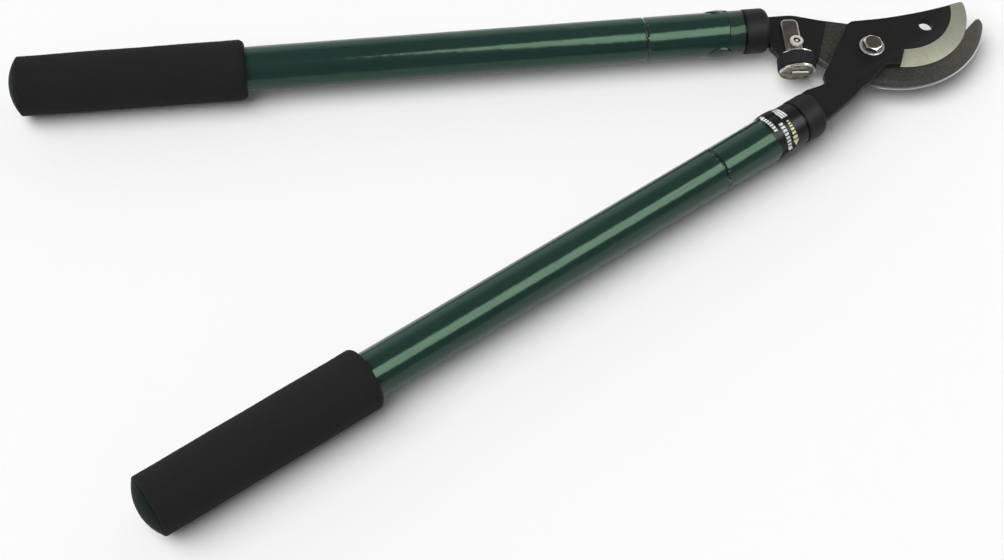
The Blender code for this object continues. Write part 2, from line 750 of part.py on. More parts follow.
def blade_outline(side):
    """Outline of tang and blade, from the tang's end along the inner side, round the tip and the edge."""
    root_in = side.offset + TANG_WIDTH / 2
    root_out = side.offset - TANG_WIDTH / 2
    shoulder_in = side.offset + BLADE_SHOULDER_IN
    shoulder_out = side.offset - BLADE_SHOULDER_OUT
    return rounded(
        [
            (TANG_END_X, root_out, 0.002),
            (TANG_END_X, root_in, 0.002),
            (SHOULDER_X, root_in),
            (SHOULDER_X, shoulder_in, 0.001),
            (-0.0596, shoulder_in, 0.004),
            (-0.0506, -0.0052, 0.006),
            (-0.0454, -0.0057, 0.0015),
            (-0.0420, 0.0004, 0.0015),
            (-0.0332, 0.0049, 0.010),
            (-0.0218, 0.0123, 0.020),
            (-0.0103, 0.0183, 0.020),
            (-0.0010, 0.0238, 0.003),
            (0.0042, 0.0240, 0.002),
            *hollow(SPINE_HEEL, SPINE_TIP, SPINE_RADIUS, 8),
            (0.0818, -0.0029, 0.002),
            *arc(EDGE_CENTRE, EDGE_RADIUS, -29.5, -128.4, 20),
            (-0.0010, -0.0161, 0.003),
            (-0.0122, -0.0186, 0.020),
            (-0.0218, -0.0215, 0.010),
            (-0.0269, -0.0214, 0.010),
            (-0.0374, -0.0243, 0.020),
            (-0.0607, -0.0280, 0.020),
            (SHOULDER_X, shoulder_out, 0.001),
            (SHOULDER_X, root_out),
        ]
    )


def cutting_blade(side):
    """Tang and blade in one plate, with a hollow back, a round hole and a wide ground bevel."""
    blade = plate(
        "cutting_blade",
        blade_outline(side),
        BLADE_LOW,
        BLADE_THICKNESS,
        side.frame,
        "black_coating",
        EDGE_BREAK,
    )
    centre = frame_empty("cutting_edge_centre", side.frame, (*EDGE_CENTRE, 0))
    over = 0.12
    width = EDGE_RADIUS - BEVEL_RADIUS
    depth = BLADE_THICKNESS - EDGE_LAND
    slope = [
        (EDGE_RADIUS + over * width, BLADE_TOP + over * depth),
        (EDGE_RADIUS + over * width, BLADE_TOP - (1 + over) * depth),
        (BEVEL_RADIUS - over * width, BLADE_TOP + over * depth),
    ]
    bevel = turned_cutter("blade_bevel", slope, centre, BEVEL_STEPS, ring=True)
    heel = frame_empty("heel_point", side.frame, (*HEEL_POINT, 0), (0, 0, HEEL_SLOPE_DEG))
    ground_side = box_mesh("blade_bevel_limit", (-0.06, -0.12, -0.02), (0.12, 0.0, 0.02))
    limit(bevel, add_cutter("blade_bevel_limit", ground_side, heel))
    cut(blade, bevel)
    hole_axis = frame_empty("blade_hole_axis", side.frame, (BLADE_HOLE_X, BLADE_HOLE_Y, 0))
    hole = bar(BLADE_HOLE_DIAMETER / 2, BLADE_TOP + REACH, BLADE_LOW - REACH)
    cut(blade, turned_cutter("blade_hole", hole, hole_axis, SMALL_STEPS))
    cut(blade, pivot_hole("blade_pivot_hole", side.frame))
    cut(blade, pin_hole(side, "_tang"))


def pivot_parts(place):
    """Bolt, washers and self-locking nut. The bolt's flat end is what the head rests on."""
    washer_low = BLADE_TOP + FIT
    washer_top = washer_low + WASHER_THICKNESS
    hole = BOLT_RADIUS + FIT
    washer = [
        (hole, washer_top),
        (WASHER_DIAMETER / 2, washer_top),
        (WASHER_DIAMETER / 2, washer_low),
        (hole, washer_low),
    ]
    turned("pivot_washer", washer, place, "bright_plate", ring=True)

    head_low = washer_top + FIT
    head_top = head_low + BOLT_HEAD_HEIGHT
    bolt_mesh = hex_mesh("pivot_bolt", BOLT_HEAD_FLATS, head_low, head_top)
    bolt = add_piece("pivot_bolt", bolt_mesh, place, "bright_plate")
    bolt.rotation_euler.z = math.radians(BOLT_TURN_DEG)
    crown = chamfer_profile(BOLT_HEAD_FLATS, head_low - REACH, head_top)
    limit(bolt, turned_cutter("bolt_crown", crown, place))
    shank = bar(BOLT_RADIUS, head_low + BOLT_HEAD_HEIGHT / 2, -AXIS_Z)
    join(bolt, turned_cutter("bolt_shank", shank, place, SMALL_STEPS))

    spring_top = HOOK_LOW - FIT
    spring_low = spring_top - LOCK_WASHER_THICKNESS
    spring = [
        (hole, spring_top),
        (LOCK_WASHER_DIAMETER / 2, spring_top),
        (LOCK_WASHER_DIAMETER / 2, spring_low),
        (hole, spring_low),
    ]
    lock_washer = turned("pivot_lock_washer", spring, place, "zinc_plate", ring=True)
    low = (0.0, -LOCK_WASHER_SPLIT / 2, spring_low - REACH)
    high = (LOCK_WASHER_DIAMETER, LOCK_WASHER_SPLIT / 2, spring_top + REACH)
    split = add_cutter("lock_washer_split", box_mesh("lock_washer_split", low, high), place)
    split.rotation_euler.z = math.radians(LOCK_WASHER_TURN_DEG)
    cut(lock_washer, split)

    nut_top = spring_low - FIT
    nut_low = nut_top - NUT_HEIGHT
    nut = add_piece("pivot_nut", hex_mesh("pivot_nut", NUT_FLATS, nut_low, nut_top), place, "zinc_plate")
    collar = NUT_COLLAR_DIAMETER / 2
    crown = chamfer_profile(NUT_FLATS, nut_low - REACH, nut_top)[:2]
    body = [
        *crown,
        (NUT_FLATS / math.sqrt(3), nut_top - 0.001),
        (NUT_FLATS / math.sqrt(3), nut_low + NUT_COLLAR + 0.001),
        (NUT_FLATS / 2, nut_low + NUT_COLLAR),
        (collar, nut_low + NUT_COLLAR),
        (collar, nut_low + 0.0006),
        (collar - 0.0006, nut_low),
        (0.0, nut_low),
    ]
    limit(nut, turned_cutter("nut_body", body, place, SMALL_STEPS))
    cut(nut, turned_cutter("nut_bore", bar(hole, nut_top + REACH, nut_low - REACH), place, SMALL_STEPS))


def chamfer_profile(flats, low, top):
    """Profile that trims the upper corners of a hexagon."""
    corner = flats / math.sqrt(3)
    flat = flats / 2 - 0.0004
    drop = (corner - flat) * 0.7
    return [(0.0, top), (flat, top), (corner + 0.0002, top - drop), (corner + 0.0002, low), (0.0, low)]


def rivet_hole(name):
    """Cutter for the rivet's hole through strip and tang, square to the tang."""
    rivet_axis = frame_empty(name + "_axis", SEAT_FRAME, (RIVET_ACROSS, 0, RIVET_OUT), (-90, 0, 0))
    reach = HOOK_THICKNESS + REACH
    return turned_cutter(name, bar(RIVET_DIAMETER / 2 + FIT, reach, -reach), rivet_axis, SMALL_STEPS)


def flange_corner(depth, level):
    """Where the strip's bent end, at a depth along the bumper's axis, reaches a level."""
    rise = (level - BUMPER_RISE + depth * math.sin(DROOP)) / math.cos(DROOP)
    return (BUMPER_STAND + depth * math.cos(DROOP) + rise * math.sin(DROOP), level)


def flange_end(depth):
    """The strip's upper end, at a depth along the bumper's axis."""
    level = BUMPER_RISE - depth * math.sin(DROOP) + FLANGE_RISE * math.cos(DROOP)
    return flange_corner(depth, level)


def bumper_bracket():
    """Strip riveted on top of the tang, its end bent up behind the bumper's disc."""
    strip_low = HOOK_TOP + FIT
    strip_top = strip_low + STRIP_THICKNESS
    outer = FIT + STRIP_THICKNESS
    outline = rounded(
        [
            (-STRIP_LENGTH, strip_low),
            (*flange_corner(outer, strip_low), STRIP_BEND),
            flange_end(outer),
            flange_end(FIT),
            flange_corner(FIT, strip_top),
            (-STRIP_LENGTH, strip_top),
        ]
    )
    bracket = plate("bumper_bracket", outline, -STRIP_WIDTH / 2, STRIP_WIDTH, SEAT_FRAME, "bright_plate")
    bracket.rotation_euler.y = math.radians(-90)
    bracket.location.x = STRIP_ACROSS
    shape = bmesh.new()
    shape.from_mesh(bracket.data)
    strip_end = min(vert.co.x for vert in shape.verts) + STRIP_THICKNESS / 2
    high_end = max(vert.co.y for vert in shape.verts) - STRIP_THICKNESS / 2
    corners = [
        edge
        for edge in shape.edges
        if abs(edge.verts[0].co.z - edge.verts[1].co.z) < WELD
        and (
            all(vert.co.x < strip_end for vert in edge.verts)
            or all(vert.co.y > high_end for vert in edge.verts)
        )
    ]
    bmesh.ops.bevel(
        shape, geom=corners, offset=STRIP_END_ROUND, segments=4, profile=0.5, affect="EDGES"
    )
    shape.to_mesh(bracket.data)
    shape.free()
    cut(bracket, rivet_hole("strip_rivet_hole"))
    stud_hole = bar(STUD_RADIUS + FIT, FIT + STRIP_THICKNESS + REACH, 0.0)
    cut(bracket, turned_cutter("strip_stud_hole", stud_hole, BUMPER_FRAME, SMALL_STEPS))


def bumper_rivet():
    """Tubular rivet with a broad head on the strip and a peened tail under the tang."""
    rivet_axis = frame_empty("rivet_axis", SEAT_FRAME, (RIVET_ACROSS, 0, RIVET_OUT), (-90, 0, 0))
    head_low = HOOK_TOP + FIT + STRIP_THICKNESS + FIT
    head_top = head_low + RIVET_HEAD_HEIGHT
    tail_top = HOOK_LOW - FIT
    tail_low = tail_top - RIVET_HEAD_HEIGHT
    head = RIVET_HEAD_DIAMETER / 2
    eye = RIVET_EYE_DIAMETER / 2
    profile = [
        (0.0, head_top - RIVET_EYE_DEPTH / 3),
        (eye * 0.4, head_top - RIVET_EYE_DEPTH / 2),
        (eye * 0.5, head_top - RIVET_EYE_DEPTH),
        (eye * 0.8, head_top - RIVET_EYE_DEPTH),
        (eye, head_top),
        (head - 0.0006, head_top),
        (head, head_top - 0.0006),
        (head, head_low),
        (RIVET_DIAMETER / 2, head_low),
        (RIVET_DIAMETER / 2, tail_top),
        (head - 0.0008, tail_top),
        (head - 0.0013, tail_low),
        (0.0, tail_low),
    ]
    turned("bumper_rivet", profile, rivet_axis, "bright_plate", SMALL_STEPS)


def bumper_cup():
    """Plated disc between strip and rubber."""
    top = CUP_OUT + CUP_THICKNESS
    radius = CUP_DIAMETER / 2
    profile = [
        (STUD_RADIUS + FIT, top),
        (radius, top),
        (radius, CUP_OUT + EDGE_BREAK),
        (radius - EDGE_BREAK, CUP_OUT),
        (STUD_RADIUS + FIT, CUP_OUT),
    ]
    turned("bumper_cup", profile, BUMPER_FRAME, "bright_plate", ring=True)


def bumper_rubber():
    """Rubber ring that takes the blow when the handles close."""
    top = RUBBER_OUT + RUBBER_THICKNESS
    radius = RUBBER_DIAMETER / 2
    profile = [(STUD_RADIUS + FIT, top)]
    profile += arc((radius - RUBBER_ROUND, top - RUBBER_ROUND), RUBBER_ROUND, 90, 0, 2)
    profile += arc((radius - RUBBER_ROUND, RUBBER_OUT + RUBBER_ROUND), RUBBER_ROUND, 0, -90, 2)
    profile.append((STUD_RADIUS + FIT, RUBBER_OUT))
    turned("bumper_rubber", profile, BUMPER_FRAME, "black_rubber", ring=True)


def bumper_cap():
    """Plated end cap with a raised rim, which the blade's tang lands on."""
    top = END_CAP_OUT + END_CAP_THICKNESS
    radius = END_CAP_DIAMETER / 2
    profile = [
        (STUD_RADIUS + FIT, top - END_CAP_RECESS),
        (radius - END_CAP_RIM, top - END_CAP_RECESS),
        (radius - END_CAP_RIM + END_CAP_RECESS, top),
        (radius - EDGE_BREAK, top),
        (radius, top - EDGE_BREAK),
        (radius, END_CAP_OUT),
        (STUD_RADIUS + FIT, END_CAP_OUT),
    ]
    turned("bumper_cap", profile, BUMPER_FRAME, "bright_plate", ring=True)


def bumper_stud():
    """Stud with a long flat key for a head, which holds the bumper's stack together."""
    seat = KEY_OUT - END_CAP_RECESS
    low = (KEY_ACROSS - KEY_LENGTH / 2, -KEY_WIDTH / 2, seat)
    high = (KEY_ACROSS + KEY_LENGTH / 2, KEY_WIDTH / 2, seat + KEY_HEIGHT)
    stud = add_piece("bumper_stud", box_mesh("bumper_stud", low, high), BUMPER_FRAME, "bright_plate")
    edges = stud.modifiers.new("broken_edges", "BEVEL")
    edges.width = EDGE_BREAK
    edges.segments = 1
    shank = bar(STUD_RADIUS, seat + KEY_HEIGHT / 2, 2 * FIT)
    join(stud, turned_cutter("stud_shank", shank, BUMPER_FRAME, SMALL_STEPS))


def settle(piece):
    """Apply the modifiers, then shade round faces smooth and leave real edges sharp."""
    graph = bpy.context.evaluated_depsgraph_get()
    mesh = bpy.data.meshes.new_from_object(piece.evaluated_get(graph))
    piece.modifiers.clear()
    piece.data = mesh
    mesh.name = piece.name
    mesh.shade_smooth()
    mesh.set_sharp_from_angle(angle=math.radians(30))


PIVOT = frame_empty("pivot_point", None, (0, 0, AXIS_Z))
HOOK_FRAME = frame_empty("hook_frame", PIVOT, (0, 0, 0), (0, 0, -HANDLE_ANGLE_DEG / 2))
BLADE_FRAME = frame_empty("blade_frame", PIVOT, (0, 0, 0), (0, 0, HANDLE_ANGLE_DEG / 2))
UPPER_AXIS = frame_empty("upper_handle_axis", HOOK_FRAME, (0, UPPER_OFFSET, 0), (0, 90, 0))
LOWER_AXIS = frame_empty("lower_handle_axis", BLADE_FRAME, (0, -LOWER_OFFSET, 0), (0, 90, 0))
SEAT_FRAME = frame_empty("bumper_seat", HOOK_FRAME, (SEAT_X, SEAT_Y, 0), (90, 0, -SEAT_TILT_DEG))
BUMPER_FRAME = frame_empty(
    "bumper_axis",
    SEAT_FRAME,
    (BUMPER_ACROSS, BUMPER_RISE, BUMPER_STAND),
    (BUMPER_DROOP_DEG, 0, 0),
)
UPPER = Side("upper", HOOK_FRAME, UPPER_AXIS, UPPER_OFFSET, HOOK_LOW, HOOK_THICKNESS, UPPER_LUG_TURN_DEG)
LOWER = Side(
    "lower", BLADE_FRAME, LOWER_AXIS, -LOWER_OFFSET, BLADE_LOW, BLADE_THICKNESS, LOWER_LUG_TURN_DEG
)


def main():
    make_handle(UPPER)
    make_handle(LOWER)
    hook_blade(UPPER)
    cutting_blade(LOWER)
    pivot_parts(PIVOT)
    bumper_bracket()
    bumper_rivet()
    bumper_cup()
    bumper_rubber()
    bumper_cap()
    bumper_stud()
    bpy.context.view_layer.update()
    for piece in [obj for obj in PARTS.objects if obj.type == "MESH"]:
        settle(piece)


main()
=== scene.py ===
"""Looks of the telescopic lopper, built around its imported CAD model.

Metres, in the model's own frame: the pivot bolt's flat end at the origin, +X to the jaws, +Z up.
"""

import math
from collections import namedtuple

import bmesh
import bpy
from mathutils import Matrix, Vector, noise


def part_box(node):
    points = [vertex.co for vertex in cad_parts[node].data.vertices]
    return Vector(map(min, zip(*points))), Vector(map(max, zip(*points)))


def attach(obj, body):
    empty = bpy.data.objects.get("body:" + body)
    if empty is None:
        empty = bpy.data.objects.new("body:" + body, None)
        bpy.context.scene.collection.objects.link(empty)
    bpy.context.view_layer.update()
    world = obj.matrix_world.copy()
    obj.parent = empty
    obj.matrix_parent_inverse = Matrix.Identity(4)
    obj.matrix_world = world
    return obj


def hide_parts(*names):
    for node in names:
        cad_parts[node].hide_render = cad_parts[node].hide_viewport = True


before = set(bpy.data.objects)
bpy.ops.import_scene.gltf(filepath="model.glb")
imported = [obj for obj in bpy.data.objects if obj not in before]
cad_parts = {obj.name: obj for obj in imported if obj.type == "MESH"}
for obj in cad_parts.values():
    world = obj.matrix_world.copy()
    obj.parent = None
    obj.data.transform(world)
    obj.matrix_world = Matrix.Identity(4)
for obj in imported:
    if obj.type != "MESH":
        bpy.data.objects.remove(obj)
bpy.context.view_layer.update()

# Where the handles and the blades lie, as in the CAD model
PIVOT = Vector((0.0, 0.0, 0.0196))
HALF_ANGLE_DEG = 14.1
UPPER_OFFSET = 0.0245
LOWER_OFFSET = -0.0172

# Stations along a handle: the rolled groove, the scored line and the bush's flange
ROLL_X = -0.148
SCORE_X = -0.0931
FLANGE_X = -0.0880

# The cutting blade's bevel, in the blade's frame: the arc it starts at and the line of its heel
EDGE_CENTRE = (0.0375, 0.0176)
BEVEL_RADIUS = 0.0375
HEEL_POINT = (0.0171, -0.0134)
HEEL_SLOPE_DEG = 38.0

# The hook, in its frame: the arcs of its back and its jaw, and the line where the coating ends
HOOK_CENTRE = (0.0195, 0.0373)
HOOK_RADIUS = 0.0676
JAW_CENTRE = (0.033, 0.0305)
JAW_RADIUS = 0.0395
COATING_END = ((-0.0230, 0.0279), (-0.0332, 0.0024))

# The bumper's strip: half its sizes and the radius of its corners
STRIP_TURN_DEG = -17.85
STRIP_CENTRE = (-0.05059, 0.01375)
STRIP_HALF = (0.00565, 0.01405)
STRIP_ROUND = 0.0035

# Where wear, tints, painted shade and painted highlights fade, from none of it to all of it:
# stations, or distances from a line
ROLL_SHADE = (0.0017, 0.0007)
ROLL_RUB = (0.0024, 0.0012)
SCORE_SHADE = (0.0005, 0.0002)
JAW_TINT = (0.006, 0.001)
HOOK_HIGHLIGHT_INSET = (-0.0008, -0.0005)
PALE_TIP = (0.015, 0.085)
TANG_WALL = (0.002, -0.004)
STRIP_HIGHLIGHT_INSET = (-0.0010, -0.0006)
STRIP_LIT = (-0.005, 0.003)
STRIP_WORN = (-0.004, -0.011)

# Radii of the darker rings on the washer, the rivet and the bumper's cap, and how high up the
# key's face its painted highlight starts, as a share of the stud's height
WASHER_RING = (0.0, 0.0070)
RIVET_RING = (0.0010, 0.0022)
CAP_RING = (0.002, 0.0106)
KEY_HIGHLIGHT_SPLIT = 0.56

# Colours. Where there are two, a surface drifts from one to the other
PAINT_GREEN = ((0.0128, 0.0310, 0.0275), (0.0190, 0.0415, 0.0360))
PAINT_DULL = (0.026, 0.038, 0.036)
PAINT_GROOVE = (0.004, 0.007, 0.006)
PAINT_BARE = (0.34, 0.38, 0.33)
FOAM_BLACK = ((0.0090, 0.0093, 0.0093), (0.0135, 0.0138, 0.0138))
FOAM_PIT = (0.020, 0.0205, 0.0205)
PLASTIC_BLACK = ((0.012, 0.012, 0.0125), (0.019, 0.019, 0.0195))
PLASTIC_SCUFF = (0.04, 0.04, 0.043)
LUG_BLACK = ((0.010, 0.013, 0.010), (0.018, 0.022, 0.017))
FLANGE_BLACK = (0.007, 0.007, 0.007)
PLUG_GREEN = ((0.0048, 0.0080, 0.0075), (0.0080, 0.0125, 0.0116))
RUBBER_BLACK = ((0.010, 0.0105, 0.012), (0.020, 0.0205, 0.024))
ACETAL_WHITE = ((0.66, 0.66, 0.61), (0.76, 0.76, 0.72))
FILM_BLACK = ((0.006, 0.006, 0.006), (0.011, 0.011, 0.011))
FILM_WHITE = (0.74, 0.80, 0.76)
FILM_YELLOW = (0.82, 0.78, 0.46)
COATING_BLACK = ((0.0026, 0.0028, 0.0027), (0.0054, 0.0056, 0.0056))
COATING_DUST = (0.015, 0.0155, 0.0155)
# Lighter coating on upright sides: painted light that lifts their shade
COATING_WALL_PAINTED_LIGHT = (0.020, 0.0205, 0.020)
COATING_BARE = (0.30, 0.30, 0.28)
BEVEL_STEEL = ((0.243, 0.250, 0.190), (0.283, 0.291, 0.229))
BEVEL_STROKE = (0.15, 0.152, 0.13)
BEVEL_PATCH = (0.215, 0.190, 0.112)
HOOK_DARK = ((0.027, 0.028, 0.025), (0.049, 0.049, 0.043))
HOOK_PALE = ((0.078, 0.076, 0.064), (0.118, 0.115, 0.098))
HOOK_BROWN = (0.120, 0.080, 0.037)
HOOK_SPECK = (0.026, 0.025, 0.022)
HOOK_SCRATCH = (0.34, 0.34, 0.31)
# Painted shade on the hook's sloping faces
HOOK_SLOPE_SHADE = (0.020, 0.019, 0.017)
# Painted highlight along the hook's ground outer edge, brighter towards the tip
HOOK_RIM_HIGHLIGHT = ((0.12, 0.125, 0.125), (0.70, 0.73, 0.75))
HOOK_WALL = ((0.44, 0.44, 0.42), (0.62, 0.62, 0.59))
BOLT_BRIGHT = (0.86, 0.85, 0.79)
# Painted shade on the bolt head's upright sides
BOLT_SIDE_SHADE = ((0.030, 0.029, 0.025), (0.11, 0.105, 0.095))
BOLT_TOP = ((0.036, 0.031, 0.024), (0.090, 0.080, 0.062))
WASHER_NICKEL = ((0.55, 0.60, 0.54), (0.44, 0.48, 0.42))
WASHER_INNER_DARK = ((0.11, 0.12, 0.11), (0.24, 0.26, 0.24))
STRIP_BROWN = ((0.055, 0.046, 0.038), (0.15, 0.13, 0.108))
# Rubbed plate, and the painted highlight along the strip's rim
STRIP_RUB_AND_HIGHLIGHT = (0.46, 0.46, 0.43)
BUMPER_NICKEL = ((0.80, 0.78, 0.72), (0.58, 0.53, 0.44))
# Painted shade in the rivet's recess
RIVET_RECESS_SHADE = ((0.012, 0.012, 0.010), (0.05, 0.05, 0.045))
CAP_DARKER = ((0.060, 0.058, 0.036), (0.24, 0.235, 0.16))
CUP_NICKEL = ((0.76, 0.73, 0.66), (0.4712, 0.3869, 0.2772))
# Painted highlight on the key face's upper part, painted shade below it
KEY_FACE_HIGHLIGHT = (0.86, 0.85, 0.80)
KEY_FACE_SHADE = ((0.035, 0.034, 0.026), (0.16, 0.16, 0.125))
ZINC = ((0.50, 0.50, 0.48), (0.66, 0.66, 0.64))

# Studio light: a bright horizon under a dark ceiling, a soft key lamp and a softbox for the gloss
HORIZON = 0.85
CEILING = 0.12
HORIZON_TOP = 0.15
CEILING_LOW = 0.60
HORIZON_LEAN = -0.35
FLOOR_WHITE = (0.94, 0.94, 0.94)
FLOOR_ROUGHNESS = 0.9
FLOOR_HALF = 20.0
FLOOR_SQUARES = 8
FLOOR_Z = -0.0002
KEY_FROM = (-0.586, 0.018, 1.0)
KEY_STRENGTH = 2.88
KEY_ANGLE_DEG = 60.0
BOX_CENTRE = (0.82, -0.575, 1.2)
BOX_SIZE = (2.2, 1.03)
BOX_TURN_DEG = 13.5
BOX_RADIANCE = 5.7

# The photograph's camera
CAMERA_PLACE = (-0.52948, -0.56485, 0.86905)
CAMERA_TURN = (0.56228, -0.04531, -0.38066)
CAMERA_LENS = 60.467
CAMERA_SENSOR = 36.0

# Shading and broken edges of the CAD pieces
WELD = 0.000005
SHARP_ANGLE_DEG = 32.0
BROKEN_EDGES = {
    "bumper_bracket": 0.00055,
    "bumper_stud": 0.0002,
    "pivot_bolt": 0.0008,
    "pivot_nut": 0.00025,
    "pivot_washer": 0.0003,
}
BROKEN_ANGLE_DEG = 35
BROKEN_SEGMENTS = 2
HEAD_TOP_BAND = 0.0002

# Foam grips
FOAM_RINGS = 150
FOAM_SEGMENTS = 128
FOAM_GRAIN = 0.00012
FOAM_GRAIN_SCALE = 700
FOAM_GRAIN_RADIUS = 0.019
FOAM_SWELL = 0.00025
FOAM_SWELL_ALONG = 30
FOAM_SWELL_ROUND = 0.6
FOAM_OVERLAP = 0.0015
FOAM_FREE_PART = 0.2
FOAM_FREE_ROUND = 0.0015
FOAM_HEAD_ROUND = 0.004
FOAM_BORE_GAP = 0.0001

# End plugs
PLUG_RADIUS = 0.0172
PLUG_RIM = 0.0004
PLUG_LIP = (0.0001, 0.0002)
PLUG_DOME = 0.0053
PLUG_STEP = 0.0142
PLUG_STEP_GAP = 0.0001
PLUG_SPIGOT_PAST = 0.001
PLUG_WALL = 0.0015
PLUG_RINGS = 14
PLUG_SEGMENTS = 96
PLUG_EYE = 0.000005
PLUG_SHARP_DEG = 40

# Printed film on the lower tube's head end
FILM_TAIL_X = -0.1043
FILM_TONGUE = 0.0039
FILM_TONGUE_DEG = 100.0
FILM_TONGUE_BEND = 1.6
FILM_HEAD_X = -0.08282
FILM_GAP = 0.0001
FILM_END_DIP = 0.00007
FILM_SKIRT = 0.0022
FILM_RINGS = 56
FILM_SEGMENTS = 180
FILM_UV_LOW = -0.110
FILM_UV_LENGTH = 0.030
LUG_LEAST_RADIUS = 0.01452
LUG_MARGIN = 0.0002

# Its marks, in degrees round the tube and millimetres along it: a mark's middle and half its
# width, its station, half its length, and the step to the next one of a row
FILM_BARS = (69.0, 19.0, -94.95, 0.62)
FILM_BAR_COUNT = 3
FILM_BAR_STEP = 1.75
FILM_TICKS = ((47.0, 3.0, -104.3, 1.30, 8.4), (99.5, 3.2, -98.8, 1.50, 9.6))
FILM_TICK_COUNT = 8
FILM_DASH_STATION = -93.4
FILM_DASHES = ((101, 1.7, 0.8), (108, 2.0, 0.95), (115.5, 2.4, 1.1))
FILM_DASHES += ((124, 2.9, 1.25), (134, 3.6, 1.45), (146, 4.2, 1.7))
ARROW_MIDDLE = 163.0
ARROW_HALF = 9.0
ARROW_STATION = -93.2
ARROW_HALF_WIDTH = 2.4
MARK_BLUR_DEG = 0.6
MARK_BLUR_MM = 0.15

# Thread at the bolt's end
THREAD_PITCH = 0.00125
THREAD_CREST = 0.00425
THREAD_ROOT = 0.0039
THREAD_LOW = 0.0003
THREAD_HIGH = 0.0042
THREAD_STEPS = 28
THREAD_FLANK = 0.44
THREAD_RUN_OUT = 5
THREAD_SHARP_DEG = 30

# Nylon ring in the nut's collar: radius and height over the nut's lower end
NYLON_PROFILE = ((0.0046, 0.0), (0.0050, -0.0002), (0.0053, -0.00015))
NYLON_PROFILE += ((0.0055, 0.0003), (0.0055, 0.0012), (0.0046, 0.0012))
NYLON_SEGMENTS = 64

Side = namedtuple("Side", "name turn offset body")
UPPER = Side("upper", -HALF_ANGLE_DEG, UPPER_OFFSET, "upper_sleeve")
LOWER = Side("lower", HALF_ANGLE_DEG, LOWER_OFFSET, "lower_sleeve")


def side_matrix(turn_deg, offset=0.0):
    """From the frame of a handle, or of a blade with no offset, to the model's frame."""
    turn = Matrix.Rotation(math.radians(turn_deg), 4, "Z")
    return Matrix.Translation(PIVOT) @ turn @ Matrix.Translation((0, offset, 0))


def local_points(node, side):
    """A CAD node's vertices in the frame of its handle."""
    back = side_matrix(side.turn, side.offset).inverted()
    return [back @ vert.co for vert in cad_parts[node].data.vertices]


def off_axis(point):
    """How far a point in a handle's frame is from the handle's axis."""
    return math.hypot(point.y, point.z)


def middle(node):
    """The mean place of a CAD node's vertices."""
    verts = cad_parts[node].data.vertices
    return sum((vert.co for vert in verts), Vector()) / len(verts)


def new_node(tree, kind, **settings):
    """A node of a tree, with its settings."""
    made = tree.nodes.new(kind)
    for key, value in settings.items():
        setattr(made, key, value)
    return made


